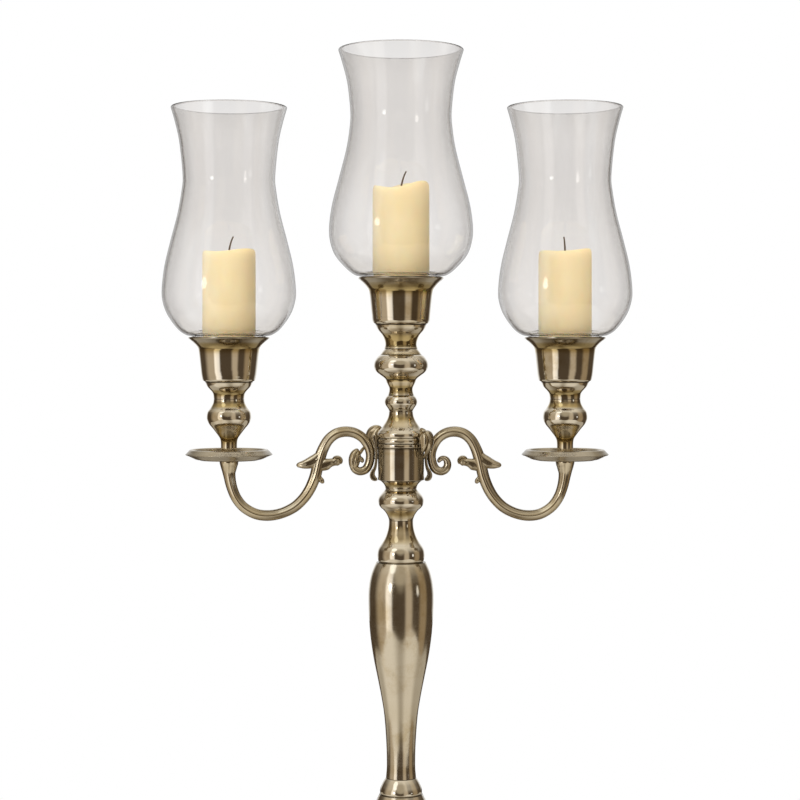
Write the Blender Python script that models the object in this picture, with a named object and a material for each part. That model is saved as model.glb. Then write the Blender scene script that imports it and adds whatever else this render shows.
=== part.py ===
"""A three-light candelabra in antiqued nickel, with pillar candles in clear hurricane shades.

The column is a stack of turned pieces drawn together by a tie rod between a nut in the foot and a nut
in the centre cup. Two scrolled arms are screwed to the hub. Each arm carries a drip pan, a cup stem and
a cup on one long screw. The shades stand loose on the cups' flanges, round the loose candles.

Units are metres, +Z is up, +X points along the right arm, and the viewer is on the -Y side.
The origin is on the column's axis at the underside of the felt.
"""

import math

import bmesh
import bpy
from mathutils import Matrix, Vector

# Fits
GAP = 0.0003
ROD_CLEARANCE = 0.0004
SCREW_CLEARANCE = 0.0003
POCKET_CLEARANCE = 0.0010
CANDLE_CLEARANCE = 0.0004

# Tie rod with its nuts and washers
ROD_RADIUS = 0.0048
ROD_END_INSET = 0.0006
NUT_ACROSS_FLATS = 0.0160
NUT_HEIGHT = 0.0070
WASHER_MARGIN = 0.0011
WASHER_THICKNESS = 0.0015
WASHER_RADIUS = NUT_ACROSS_FLATS / math.sqrt(3) + WASHER_MARGIN
NUT_POCKET_RADIUS = WASHER_RADIUS + POCKET_CLEARANCE
NUT_POCKET_DEPTH = NUT_HEIGHT + WASHER_THICKNESS + 2 * GAP + ROD_END_INSET

# Foot
FOOT_RADIUS = 0.1215
FOOT_HEIGHT = 0.1017
FOOT_WALL = 0.0025
FOOT_RIM_WIDTH = 0.0030
FELT_INSET = 0.0030
FELT_THICKNESS = 0.0020
WEIGHT_INSET = 0.0345
WEIGHT_THICKNESS = 0.0150
WEIGHT_BOSS_WALL = 0.0063

# Turned pieces of the column
FOOT_BEAD_RADIUS = 0.0205
FOOT_BEAD_HEIGHT = 0.0140
LOWER_BALUSTER_RADIUS = 0.0260
LOWER_BALUSTER_HEIGHT = 0.1873
STEM_BEAD_RADIUS = 0.0187
STEM_BEAD_HEIGHT = 0.0139
MAIN_BALUSTER_RADIUS = 0.0292
MAIN_BALUSTER_HEIGHT = 0.1922
BELL_RADIUS = 0.0211
BELL_HEIGHT = 0.0369
STEM_KNOP_RADIUS = 0.0205
STEM_KNOP_HEIGHT = 0.0283
NECK_BEAD_RADIUS = 0.0146
NECK_BEAD_HEIGHT = 0.0141
CUP_KNOP_RADIUS = 0.0242
CUP_KNOP_HEIGHT = 0.0415

# Hub
HUB_RADIUS = 0.0207
HUB_HEIGHT = 0.0447
HUB_RIM_WIDTH = 0.0005
HUB_RIM_HEIGHT = 0.0076
HUB_WALL = 0.0037
HUB_FLOOR = 0.0100
HUB_CAP_HEIGHT = 0.0231
SPIGOT_DEPTH = 0.0030
HUB_RIM_RADIUS = HUB_RADIUS + HUB_RIM_WIDTH
HUB_HOLLOW_RADIUS = HUB_RADIUS - HUB_WALL

# Arms: the left one reaches a little farther than the right one
LEFT_REACH = 0.1536
RIGHT_REACH = 0.1465
CRADLE_SPACE = 0.0020
CRADLE_WIDTH = 0.0080
ARM_END_HEIGHT = 0.0024
ARM_SCREW_RADIUS = 0.0020
ARM_SCREW_HEAD_RADIUS = 0.0042
ARM_SCREW_HEAD_HEIGHT = 0.0024
ARM_SCREW_BITE = 0.0060
ARM_SCREW_HEIGHT = 0.0055
HUB_LEAF_AZIMUTH = -38.0
SCROLL_ROOT = HUB_RIM_RADIUS + CRADLE_SPACE

# Drip pans
PAN_RADIUS = 0.0388
PAN_LIP_WIDTH = 0.0123
PAN_HEIGHT = 0.0093
PAN_THICKNESS = 0.0025

# Cups and their stems
CUP_WALL = 0.0015
CUP_LIP_THICKNESS = 0.0008
CUP_DISH_SLOPE = 0.85
CUP_DISH_WIDTH = 0.0046
CENTRE_CUP_RADIUS = 0.0381
CENTRE_CUP_HEIGHT = 0.0636
CENTRE_CUP_FLOOR = 0.0405
SIDE_CUP_RADIUS = 0.0362
SIDE_CUP_HEIGHT = 0.0551
SIDE_CUP_FLOOR = 0.0327
CUP_STEM_RADIUS = 0.0198
CUP_STEM_HEIGHT = 0.0515
CUP_SCREW_RADIUS = 0.0022
CUP_SCREW_HEAD_RADIUS = 0.0044
CUP_SCREW_HEAD_HEIGHT = 0.0036
CUP_SCREW_BITE = 0.0130
SCREW_TIP_CLEARANCE = 0.0010

# Shades
GLASS_THICKNESS = 0.0022
SHADE_LIP_INSET = 0.0033
SHADE_LIP_RISE = 0.0006
CENTRE_SHADE_BELLY = 0.0643
CENTRE_SHADE_HEIGHT = 0.2060
SIDE_SHADE_BELLY = 0.0598
SIDE_SHADE_HEIGHT = 0.2080

# Candles
CENTRE_CANDLE_HEIGHT = 0.1033
SIDE_CANDLE_HEIGHT = 0.0999
CANDLE_RIM_WIDTH = 0.0030
CANDLE_EDGE = 0.0015
CANDLE_RIM_DROP = 0.0010
POOL_DEPTH = 0.0045
POOL_FLOOR_RADIUS = 0.0125
WICK_RADIUS = 0.0010
WICK_ROOT = 0.0080
CENTRE_WICK_RISE = 0.0180
SIDE_WICK_RISE = 0.0160
CENTRE_WICK_LEAN = 0.0045
LEFT_WICK_LEAN = 0.0037
RIGHT_WICK_LEAN = -0.0010

# Facets
TURNED_SEGMENTS = 20
FOOT_SEGMENTS = 24
SMALL_SEGMENTS = 12
ARM_SIDES = 8
LEAF_SIDES = 6
CURL_STEP = 25.0
SHARP_ANGLE = 38.0

# Finishes: colour, metallic, roughness, transmission
NICKEL = ((0.62, 0.55, 0.44), 1.0, 0.16, 0.0)
STEEL = ((0.50, 0.50, 0.50), 1.0, 0.35, 0.0)
IRON = ((0.05, 0.05, 0.05), 0.4, 0.70, 0.0)
FELT = ((0.06, 0.10, 0.07), 0.0, 0.95, 0.0)
GLASS = ((0.93, 0.93, 0.92), 0.0, 0.03, 1.0)
WAX = ((0.90, 0.82, 0.58), 0.0, 0.50, 0.0)
COTTON = ((0.12, 0.07, 0.04), 0.0, 0.90, 0.0)

# Outlines of the turned pieces, from the bottom up: shares of the piece's radius and height
FOOT_SHELL = [(0.988, 0.0), (1.0, 0.035), (0.990, 0.075), (0.960, 0.10), (0.880, 0.127), (0.805, 0.185),
              (0.762, 0.265), (0.728, 0.280), (0.718, 0.330), (0.655, 0.425), (0.525, 0.535), (0.385, 0.620),
              (0.282, 0.715), (0.222, 0.815), (0.198, 0.905)]
FOOT_COLLAR = [(0.212, 0.940), (0.215, 0.965), (0.200, 0.985), (0.140, 1.0)]
FOOT_BEAD = [(0.78, 0.0), (0.95, 0.22), (1.0, 0.50), (0.95, 0.78), (0.76, 1.0)]
LOWER_BALUSTER = [(0.540, 0.0), (0.485, 0.05), (0.462, 0.12), (0.500, 0.22), (0.592, 0.35), (0.731, 0.50),
                  (0.885, 0.65), (0.977, 0.77), (1.0, 0.85), (0.962, 0.915), (0.819, 0.973), (0.708, 1.0)]
STEM_BEAD = [(0.968, 0.0), (1.0, 0.20), (0.945, 0.45), (0.850, 0.72), (0.738, 1.0)]
MAIN_BALUSTER = [(0.469, 0.0), (0.435, 0.067), (0.445, 0.15), (0.490, 0.25), (0.600, 0.38), (0.745, 0.49),
                 (0.873, 0.595), (0.973, 0.72), (1.0, 0.845), (0.952, 0.914), (0.880, 0.956), (0.757, 1.0)]
BELL = [(0.929, 0.0), (1.0, 0.13), (0.967, 0.28), (0.810, 0.42), (0.668, 0.57), (0.578, 0.71),
        (0.526, 0.86), (0.517, 1.0)]
STEM_KNOP = [(0.546, 0.0), (0.629, 0.19), (0.849, 0.375), (0.995, 0.56), (0.985, 0.66), (0.820, 0.84),
             (0.693, 1.0)]
HUB_FOOT = [(0.686, 0.0), (0.754, 0.08), (0.865, 0.14), (0.990, 0.19), (1.0, 0.21)]
HUB_CAP = [(1.0, 0.0), (0.995, 0.18), (0.906, 0.29), (0.778, 0.41), (0.623, 0.64), (0.519, 0.87),
           (0.50, 1.0)]
NECK_BEAD = [(0.740, 0.0), (0.820, 0.24), (1.0, 0.58), (0.930, 0.84), (0.829, 1.0)]
CUP_KNOP = [(0.492, 0.0), (0.434, 0.12), (0.483, 0.23), (0.570, 0.36), (0.707, 0.43), (0.959, 0.55),
            (1.0, 0.65), (0.913, 0.81), (0.769, 0.87), (0.698, 0.94), (0.607, 1.0)]
CUP_STEM = [(0.434, 0.0), (0.379, 0.06), (0.369, 0.16), (0.379, 0.28), (0.606, 0.429), (0.899, 0.567),
            (1.0, 0.69), (0.960, 0.775), (0.833, 0.845), (0.722, 0.914), (0.687, 1.0)]

# Outlines of the cups: the bowl, the wall round the candle, and the flange's underside
CENTRE_CUP_BOWL = [(0.386, 0.0), (0.370, 0.04), (0.383, 0.12), (0.480, 0.225), (0.596, 0.333)]
CENTRE_CUP_BODY = [(0.656, 0.375), (0.680, 0.417), (0.743, 0.796)]
CENTRE_CUP_FLANGE = [(0.764, 0.838), (0.879, 0.922), (0.976, 0.966)]
SIDE_CUP_BOWL = [(0.376, 0.0), (0.387, 0.075), (0.439, 0.14), (0.539, 0.205), (0.591, 0.27)]
SIDE_CUP_BODY = [(0.646, 0.30), (0.663, 0.334), (0.743, 0.788)]
SIDE_CUP_FLANGE = [(0.773, 0.853), (0.859, 0.917), (0.970, 0.965)]

# Outlines of the shades above the foot: share of the way out from the foot to the belly, and of the height
CENTRE_SHADE = [(0.214, 0.020), (0.475, 0.048), (0.817, 0.105), (0.970, 0.165), (1.0, 0.230), (0.912, 0.325),
                (0.705, 0.440), (0.475, 0.570), (0.360, 0.735), (0.445, 0.850), (0.729, 1.0)]
SIDE_SHADE = [(0.208, 0.020), (0.483, 0.046), (0.810, 0.105), (0.967, 0.160), (1.0, 0.215), (0.911, 0.315),
              (0.710, 0.425), (0.480, 0.540), (0.312, 0.705), (0.420, 0.845), (0.714, 1.0)]

# A drip pan's lip from the floor outwards: shares of the lip's width and of the pan's height
PAN_LIP = [(0.0, 0.0), (0.28, 0.09), (0.57, 0.26), (0.81, 0.39), (1.0, 0.50), (0.82, 0.80), (0.65, 1.0),
           (0.50, 0.93), (0.35, 0.70), (0.18, 0.40)]

# A wick above the pool: shares of its lean and of its rise
WICK_BEND = [(0.0, 0.0), (0.10, 0.30), (0.45, 0.65), (1.0, 1.0)]

# An arm's spine from the curl's tip to the collar: distance out from the scroll's root, height over
# the hub's middle, width seen from the front, and depth from front to back
ARM_SPINE = [
    (0.0118, 0.0022, 0.0027, 0.0030), (0.0138, 0.0045, 0.0038, 0.0044), (0.0172, 0.0040, 0.0050, 0.0060),
    (0.0195, 0.0000, 0.0068, 0.0072), (0.0182, -0.0050, 0.0073, 0.0078), (0.0135, -0.0074, 0.0075, 0.0080),
    (0.0083, -0.0056, 0.0079, 0.0082), (0.0052, -0.0002, 0.0080, 0.0084), (0.0042, 0.0076, 0.0080, 0.0084),
    (0.0063, 0.0156, 0.0086, 0.0086), (0.0112, 0.0226, 0.0089, 0.0088), (0.0185, 0.0269, 0.0092, 0.0090),
    (0.0265, 0.0280, 0.0094, 0.0090), (0.0345, 0.0262, 0.0095, 0.0090), (0.0410, 0.0212, 0.0096, 0.0090),
    (0.0454, 0.0142, 0.0098, 0.0090), (0.0486, 0.0062, 0.0107, 0.0092), (0.0510, -0.0027, 0.0113, 0.0094),
    (0.0529, -0.0107, 0.0113, 0.0094), (0.0553, -0.0174, 0.0105, 0.0094), (0.0589, -0.0248, 0.0101, 0.0094),
    (0.0642, -0.0323, 0.0096, 0.0094), (0.0722, -0.0396, 0.0095, 0.0094), (0.0831, -0.0448, 0.0094, 0.0094),
    (0.0947, -0.0469, 0.0096, 0.0094), (0.1062, -0.0455, 0.0095, 0.0094), (0.1167, -0.0396, 0.0093, 0.0094),
    (0.1236, -0.0311, 0.0094, 0.0094), (0.1277, -0.0209, 0.0098, 0.0098), (0.1297, -0.0107, 0.0111, 0.0111),
    (0.1300, -0.0046, 0.0142, 0.0142), (0.1300, -0.0008, 0.0166, 0.0166),
    (0.1300, ARM_END_HEIGHT, 0.0168, 0.0168)]

# The leaves that spring from an arm, measured like its spine
INNER_LEAF = [
    (0.0465, 0.0010, 0.0060, 0.0050), (0.0405, 0.0020, 0.0078, 0.0066), (0.0360, 0.0024, 0.0080, 0.0070),
    (0.0325, 0.0026, 0.0064, 0.0060), (0.0306, 0.0023, 0.0030, 0.0030)]
OUTER_LEAF = [
    (0.0480, 0.0158, 0.0040, 0.0050), (0.0522, 0.0104, 0.0078, 0.0080), (0.0562, 0.0045, 0.0088, 0.0086),
    (0.0608, 0.0008, 0.0080, 0.0078), (0.0653, -0.0013, 0.0064, 0.0062), (0.0688, -0.0021, 0.0030, 0.0030)]
SPUR = [
    (0.0512, -0.0079, 0.0050, 0.0050), (0.0490, -0.0129, 0.0042, 0.0044), (0.0474, -0.0154, 0.0048, 0.0050),
    (0.0469, -0.0176, 0.0028, 0.0030)]

# The leaf that fills the left arm's curl: its middle, and its half sizes along, across and up
CURL_LEAF_MIDDLE = (0.0152, 0.0041)
CURL_LEAF_RADII = (0.0044, 0.0046, 0.0050)

# The cradle between hub and arm: distance out from the hub's rim, height over its middle, thickness
CRADLE = [
    (0.0024, 0.0237, 0.0030), (0.0018, 0.0201, 0.0022), (0.0013, 0.0152, 0.0017), (0.0008, 0.0089, 0.0017),
    (0.0008, 0.0020, 0.0017), (0.0020, -0.0040, 0.0021), (0.0041, -0.0073, 0.0024), (0.0047, -0.0104, 0.0024),
    (0.0034, -0.0131, 0.0024), (0.0013, -0.0140, 0.0022), (-0.0001, -0.0140, 0.0020)]

# The curled leaf beside each arm: distance out from the hub's rim, height, thickness and width
HUB_LEAF = [
    (0.0018, 0.0178, 0.0026, 0.0080), (0.0030, 0.0237, 0.0026, 0.0084), (0.0064, 0.0282, 0.0026, 0.0086),
    (0.0103, 0.0269, 0.0026, 0.0084), (0.0123, 0.0213, 0.0024, 0.0076), (0.0108, 0.0148, 0.0022, 0.0060),
    (0.0068, 0.0104, 0.0020, 0.0040), (0.0033, 0.0079, 0.0012, 0.0014)]


def clear_scene():
    for thing in list(bpy.data.objects):
        bpy.data.objects.remove(thing)


def finish_material(name, finish):
    """A Principled material of the piece's own."""
    colour, metallic, roughness, transmission = finish
    material = bpy.data.materials.new(name)
    material.use_nodes = True
    shader = material.node_tree.nodes["Principled BSDF"]
    shader.inputs["Base Color"].default_value = (*colour, 1.0)
    shader.inputs["Metallic"].default_value = metallic
    shader.inputs["Roughness"].default_value = roughness
    shader.inputs["Transmission Weight"].default_value = transmission
    return material


def add_object(name, mesh, finish):
    """Links a finished bmesh to the scene as one smooth-shaded object."""
    bmesh.ops.recalc_face_normals(mesh, faces=mesh.faces)
    data = bpy.data.meshes.new(name)
    mesh.to_mesh(data)
    mesh.free()
    data.shade_smooth()
    data.set_sharp_from_angle(angle=math.radians(SHARP_ANGLE))
    data.materials.append(finish_material(name, finish))
    thing = bpy.data.objects.new(name, data)
    bpy.context.collection.objects.link(thing)
    return thing


def sized(outline, radius, height):
    """Turns shares of a piece's radius and height into lengths."""
    return [(share * radius, level * height) for share, level in outline]


def lathe(name, section, finish, segments=TURNED_SEGMENTS):
    """Turns a section round the vertical axis.

    The section runs up the outside and down the inside. One that starts and ends on the axis makes
    a solid, and any other is closed into a ring. A radius may be a function of the angle.
    """
    mesh = bmesh.new()
    angles = [2 * math.pi * i / segments for i in range(segments)]
    rings = []
    for radius, height in section:
        if radius == 0:
            rings.append([mesh.verts.new((0, 0, height))])
            continue
        reach = radius if callable(radius) else lambda angle, fixed=radius: fixed
        ring = []
        for angle in angles:
            out = reach(angle)
            ring.append(mesh.verts.new((out * math.cos(angle), out * math.sin(angle), height)))
        rings.append(ring)
    pairs = list(zip(rings, rings[1:]))
    if len(rings[0]) > 1:
        pairs.append((rings[-1], rings[0]))
    for lower, upper in pairs:
        for i in range(segments):
            j = (i + 1) % segments
            corners = [lower[i % len(lower)], lower[j % len(lower)]]
            corners += [upper[j % len(upper)], upper[i % len(upper)]]
            mesh.faces.new(dict.fromkeys(corners))
    return add_object(name, mesh, finish)


def smooth_spine(points):
    """Adds points on a smooth curve where the spine turns by more than the curl step."""
    rows = [Vector(point) for point in points]
    rows = [rows[0] * 2 - rows[1], *rows, rows[-1] * 2 - rows[-2]]
    result = []
    for before, start, end, after in zip(rows, rows[1:], rows[2:], rows[3:]):
        turn = (end.xy - before.xy).angle(after.xy - start.xy)
        steps = max(1, round(math.degrees(turn) / CURL_STEP))
        for step in range(steps):
            t = step / steps
            bend = (end - before) * t + (before * 2 - start * 5 + end * 4 - after) * t ** 2
            bend += (start * 3 - before - end * 3 + after) * t ** 3
            result.append(start + bend / 2)
    result.append(rows[-2])
    return result


def sweep(name, points, finish, sides=ARM_SIDES, turn=0.0, square=False):
    """Sweeps an oval or square-edged section along a spine in a vertical plane.

    Each point holds a distance out from the Z axis, a height, and the section's width in the plane
    and depth across it. The plane is turned about the Z axis.
    """
    mesh = bmesh.new()
    spine = smooth_spine(points)
    turned = Matrix.Rotation(turn, 3, "Z")
    corner = math.pi / sides if square else 0.0
    stretch = 1 / math.cos(corner)
    rings = []
    for i, (out, up, width, depth) in enumerate(spine):
        along = (spine[min(i + 1, len(spine) - 1)].xy - spine[max(i - 1, 0)].xy).normalized()
        across = Vector((-along.y, 0, along.x))
        ring = []
        for k in range(sides):
            angle = 2 * math.pi * k / sides + corner
            point = Vector((out, 0, up)) + across * (width / 2 * stretch * math.cos(angle))
            point.y = depth / 2 * stretch * math.sin(angle)
            ring.append(mesh.verts.new(turned @ point))
        rings.append(ring)
    for lower, upper in zip(rings, rings[1:]):
        for k in range(sides):
            j = (k + 1) % sides
            mesh.faces.new((lower[k], lower[j], upper[j], upper[k]))
    mesh.faces.new(rings[0])
    mesh.faces.new(rings[-1])
    return add_object(name, mesh, finish)


def rod_section(radius, bottom, top):
    return [(0, bottom), (radius, bottom), (radius, top), (0, top)]


def bored(outline, bore):
    """Closes an outline into the section of a piece with one plain bore."""
    return [(bore, outline[0][1]), *outline, (bore, outline[-1][1])]


def combine(thing, helper, operation):
    """Joins a hidden helper to a piece, or cuts the piece with it."""
    helper.hide_render = True
    helper.display_type = "WIRE"
    modifier = thing.modifiers.new(helper.name, "BOOLEAN")
    modifier.operation = operation
    modifier.solver = "EXACT"
    modifier.object = helper


def drill_across(thing, name, start, end, height, turn):
    """Drills a level hole for an arm screw, between two distances from the Z axis."""
    section = rod_section(ARM_SCREW_RADIUS + SCREW_CLEARANCE, start, end)
    drill = lathe(name, section, STEEL, SMALL_SEGMENTS)
    drill.rotation_euler = (0, math.pi / 2, turn)
    drill.location.z = height
    combine(thing, drill, "DIFFERENCE")


def nut(name, height):
    """A hexagon nut that clears the rod's thread."""
    def flats(angle):
        sixth = math.pi / 3
        return NUT_ACROSS_FLATS / 2 / math.cos(angle % sixth - sixth / 2)
    bore = ROD_RADIUS + GAP
    section = [(bore, 0), (flats, 0), (flats, NUT_HEIGHT), (bore, NUT_HEIGHT)]
    lathe(name, section, STEEL, SMALL_SEGMENTS).location.z = height


def washer(name, height):
    section = bored([(WASHER_RADIUS, 0), (WASHER_RADIUS, WASHER_THICKNESS)], ROD_RADIUS + GAP)
    lathe(name, section, STEEL, SMALL_SEGMENTS).location.z = height


def screw(name, radius, length, head_radius, head_height):
    """A cheese-head screw that points up from its head."""
    section = [(0, 0), (head_radius, 0), (head_radius, head_height), (radius, head_height),
               (radius, head_height + length), (0, head_height + length)]
    return lathe(name, section, STEEL, SMALL_SEGMENTS)


def foot():
    """The felt, the spun foot over its iron weight, and the nut under them; returns the foot's top."""
    lathe("base_felt", rod_section(FOOT_RADIUS - FELT_INSET, 0, FELT_THICKNESS), FELT, FOOT_SEGMENTS)
    base = FELT_THICKNESS + GAP
    bore = ROD_RADIUS + ROD_CLEARANCE
    shell = sized(FOOT_SHELL, FOOT_RADIUS, FOOT_HEIGHT)
    collar = sized(FOOT_COLLAR, FOOT_RADIUS, FOOT_HEIGHT)
    hollow = [(radius - FOOT_WALL, height - FOOT_WALL) for radius, height in shell[:3:-2]]
    ceiling = FOOT_HEIGHT - FOOT_WALL
    inside = [(bore, FOOT_HEIGHT), (bore, ceiling), (hollow[0][0], ceiling), *hollow,
              (shell[0][0] - FOOT_RIM_WIDTH, 0)]
    lathe("base_foot", shell + collar + inside, NICKEL, FOOT_SEGMENTS).location.z = base

    boss = bore + WEIGHT_BOSS_WALL
    top = ceiling - GAP
    disc = FOOT_RADIUS - WEIGHT_INSET
    weight = [(NUT_POCKET_RADIUS, 0), (disc, 0), (disc, WEIGHT_THICKNESS), (boss, WEIGHT_THICKNESS),
              (boss, top), (bore, top), (bore, NUT_POCKET_DEPTH), (NUT_POCKET_RADIUS, NUT_POCKET_DEPTH)]
    lathe("base_weight", weight, IRON).location.z = base
    seat = base + NUT_POCKET_DEPTH - GAP - WASHER_THICKNESS
    washer("base_washer", seat)
    nut("base_nut", seat - GAP - NUT_HEIGHT)
    return base + FOOT_HEIGHT


def stack(name, outline, radius, height, base):
    """Stands one turned and bored piece of the column on the one below; returns its top."""
    section = bored(sized(outline, radius, height), ROD_RADIUS + ROD_CLEARANCE)
    lathe(name, section, NICKEL).location.z = base + GAP
    return base + GAP + height


def hub(base):
    """The hollow hub with its screw holes; returns its middle and its top."""
    bore = ROD_RADIUS + ROD_CLEARANCE
    rim_start = HUB_HEIGHT - HUB_RIM_HEIGHT
    outside = sized(HUB_FOOT, HUB_RADIUS, HUB_HEIGHT)
    outside += [(HUB_RADIUS, rim_start - HUB_RIM_WIDTH), (HUB_RIM_RADIUS, rim_start)]
    outside.append((HUB_RIM_RADIUS, HUB_HEIGHT))
    inside = [(HUB_HOLLOW_RADIUS, HUB_HEIGHT), (HUB_HOLLOW_RADIUS, HUB_FLOOR), (bore, HUB_FLOOR), (bore, 0)]
    piece = lathe("hub", outside + inside, NICKEL)
    piece.location.z = base + GAP
    middle = base + GAP + HUB_HEIGHT / 2
    for side, turn in (("left", math.pi), ("right", 0.0)):
        height = middle + ARM_SCREW_HEIGHT
        drill_across(piece, side + "_hub_drill", HUB_HOLLOW_RADIUS / 2, SCROLL_ROOT, height, turn)
    return middle, base + GAP + HUB_HEIGHT


def hub_cap(base):
    """The cone on the hub, with a spigot that drops into its hollow; returns its top."""
    bore = ROD_RADIUS + ROD_CLEARANCE
    spigot = HUB_HOLLOW_RADIUS - GAP
    section = [(bore, -SPIGOT_DEPTH), (spigot, -SPIGOT_DEPTH), (spigot, 0),
               *sized(HUB_CAP, HUB_RIM_RADIUS, HUB_CAP_HEIGHT), (bore, HUB_CAP_HEIGHT)]
    lathe("hub_cap", section, NICKEL).location.z = base + GAP
    return base + GAP + HUB_CAP_HEIGHT


def cup(name, bowl, body, flange, radius, height, floor, pocket, bore, x, base):
    """A cup with a flared flange; returns the heights of its lip and floor, and its well's radius."""
    pocket_radius, pocket_depth = pocket
    body = sized(body, radius, height)
    outside = sized(bowl, radius, height) + body + sized(flange, radius, height)
    lip = radius - CUP_LIP_THICKNESS / 2
    outside += [(radius, height - CUP_LIP_THICKNESS), (lip, height)]
    (foot_radius, foot_height), (head_radius, head_height) = body[1:]
    slope = (head_radius - foot_radius) / (head_height - foot_height)
    well = foot_radius + slope * (floor - foot_height) - CUP_WALL
    dish = (lip - CUP_DISH_WIDTH, height - CUP_DISH_WIDTH * CUP_DISH_SLOPE)
    inside = [dish, (head_radius - CUP_WALL, head_height), (well, floor), (pocket_radius, floor),
              (pocket_radius, floor - pocket_depth), (bore, floor - pocket_depth), (bore, 0)]
    lathe(name, outside + inside, NICKEL).location = (x, 0, base + GAP)
    return base + GAP + height, base + GAP + floor, well


def shade(name, outline, belly, height, lip_radius, x, lip_height):
    """A blown glass shade, open at both ends, whose foot rests in the dish of a cup's flange."""
    foot = lip_radius - SHADE_LIP_INSET
    drop = (SHADE_LIP_INSET - CUP_LIP_THICKNESS / 2) * CUP_DISH_SLOPE - GAP
    outside = [(foot, 0), (foot, drop + SHADE_LIP_RISE)]
    outside += [(foot + share * (belly - foot), level * height) for share, level in outline]
    inside = [(foot - GLASS_THICKNESS, 0)]
    for before, (radius, level), after in zip(outside, outside[1:], outside[2:]):
        run = Vector(after) - Vector(before)
        inward = Vector((-run.y, run.x)).normalized() * GLASS_THICKNESS
        inside.append((radius + inward.x, level + inward.y))
    inside.append((outside[-1][0] - GLASS_THICKNESS, height))
    lathe(name, outside + inside[::-1], GLASS).location = (x, 0, lip_height - drop)


def candle(name, well, height, wick, x, floor):
    """A pillar candle with a shallow pool, and its bent wick."""
    radius = well - CANDLE_CLEARANCE
    hole = WICK_RADIUS + GAP
    pool = height - POOL_DEPTH
    section = [(0, 0), (radius, 0), (radius, height - CANDLE_EDGE), (radius - CANDLE_EDGE, height),
               (radius - CANDLE_RIM_WIDTH, height - CANDLE_RIM_DROP), (POOL_FLOOR_RADIUS, pool), (hole, pool),
               (hole, pool - WICK_ROOT), (0, pool - WICK_ROOT)]
    lathe(name + "_candle", section, WAX).location = (x, 0, floor + GAP)
    thickness = 2 * WICK_RADIUS
    spine = [(0, pool - WICK_ROOT + GAP, thickness, thickness)]
    rise, lean = wick
    spine += [(lean * out, pool + rise * up, thickness, thickness) for out, up in WICK_BEND]
    sweep(name + "_wick", spine, COTTON, LEAF_SIDES).location = (x, 0, floor + GAP)


def arm(side, reach, turn, middle):
    """One cast arm: a C-scroll that runs on into an S-shaped branch, with leaves at their meeting."""
    widening = (reach - SCROLL_ROOT) / ARM_SPINE[-1][0]

    def form(label, points, sides):
        rows = [(SCROLL_ROOT + out * widening, up, width, depth) for out, up, width, depth in points]
        thing = sweep(side + label, rows, NICKEL, sides, turn)
        thing.location.z = middle
        return thing

    piece = form("_arm", ARM_SPINE, ARM_SIDES)
    for label, points in (("_inner_leaf", INNER_LEAF), ("_outer_leaf", OUTER_LEAF), ("_spur", SPUR)):
        combine(piece, form(label, points, LEAF_SIDES), "UNION")
    if side == "left":
        curl_leaf(piece, widening, turn, middle)
    drill_across(piece, side + "_arm_drill", HUB_RADIUS, SCROLL_ROOT + ARM_SCREW_BITE + GAP,
                 middle + ARM_SCREW_HEIGHT, turn)
    tip = -CUP_SCREW_BITE - SCREW_TIP_CLEARANCE
    section = rod_section(CUP_SCREW_RADIUS + SCREW_CLEARANCE, tip, PAN_HEIGHT)
    bore = lathe(side + "_arm_bore", section, STEEL, SMALL_SEGMENTS)
    bore.location = (reach * math.cos(turn), 0, middle + ARM_END_HEIGHT)
    combine(piece, bore, "DIFFERENCE")


def curl_leaf(piece, widening, turn, middle):
    """The leaf that fills the left arm's curl."""
    mesh = bmesh.new()
    bmesh.ops.create_uvsphere(mesh, u_segments=SMALL_SEGMENTS, v_segments=LEAF_SIDES, radius=1.0)
    bmesh.ops.scale(mesh, verts=mesh.verts, vec=CURL_LEAF_RADII)
    leaf = add_object("left_curl_leaf", mesh, NICKEL)
    out, up = CURL_LEAF_MIDDLE
    leaf.location = ((SCROLL_ROOT + out * widening) * math.cos(turn), 0, middle + up)
    combine(piece, leaf, "UNION")


def arm_fixing(side, turn, middle):
    """The cradle between hub and arm, the curled leaf beside it, and the screw from inside the hub."""
    strap = [(HUB_RIM_RADIUS + out, up, thickness, CRADLE_WIDTH) for out, up, thickness in CRADLE]
    cradle = sweep(side + "_cradle", strap, NICKEL, 4, turn, square=True)
    cradle.location.z = middle
    tip = SCROLL_ROOT + ARM_SCREW_BITE
    drill_across(cradle, side + "_cradle_drill", HUB_HOLLOW_RADIUS, tip, middle + ARM_SCREW_HEIGHT, turn)

    azimuth = turn + math.radians(HUB_LEAF_AZIMUTH)
    blade = [(HUB_RIM_RADIUS + out, up, thickness, width) for out, up, thickness, width in HUB_LEAF]
    sweep(side + "_hub_leaf", blade, NICKEL, LEAF_SIDES, azimuth).location.z = middle

    wall = HUB_HOLLOW_RADIUS * math.cos(math.pi / TURNED_SEGMENTS)
    seat = math.sqrt(wall ** 2 - ARM_SCREW_HEAD_RADIUS ** 2) - GAP
    piece = screw(side + "_arm_screw", ARM_SCREW_RADIUS, tip - seat, ARM_SCREW_HEAD_RADIUS,
                  ARM_SCREW_HEAD_HEIGHT)
    piece.rotation_euler = (0, math.pi / 2, turn)
    piece.location = ((seat - ARM_SCREW_HEAD_HEIGHT) * math.cos(turn), 0, middle + ARM_SCREW_HEIGHT)


def drip_pan(side, x, base):
    """A shallow dish with a rolled lip; returns the height of its floor."""
    floor = PAN_RADIUS - PAN_LIP_WIDTH
    outline = [(floor + share * PAN_LIP_WIDTH, level * PAN_HEIGHT) for share, level in PAN_LIP]
    section = bored([*outline, (floor, PAN_THICKNESS)], CUP_SCREW_RADIUS + SCREW_CLEARANCE)
    lathe(side + "_drip_pan", section, NICKEL).location = (x, 0, base + GAP)
    return base + GAP + PAN_THICKNESS


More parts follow.
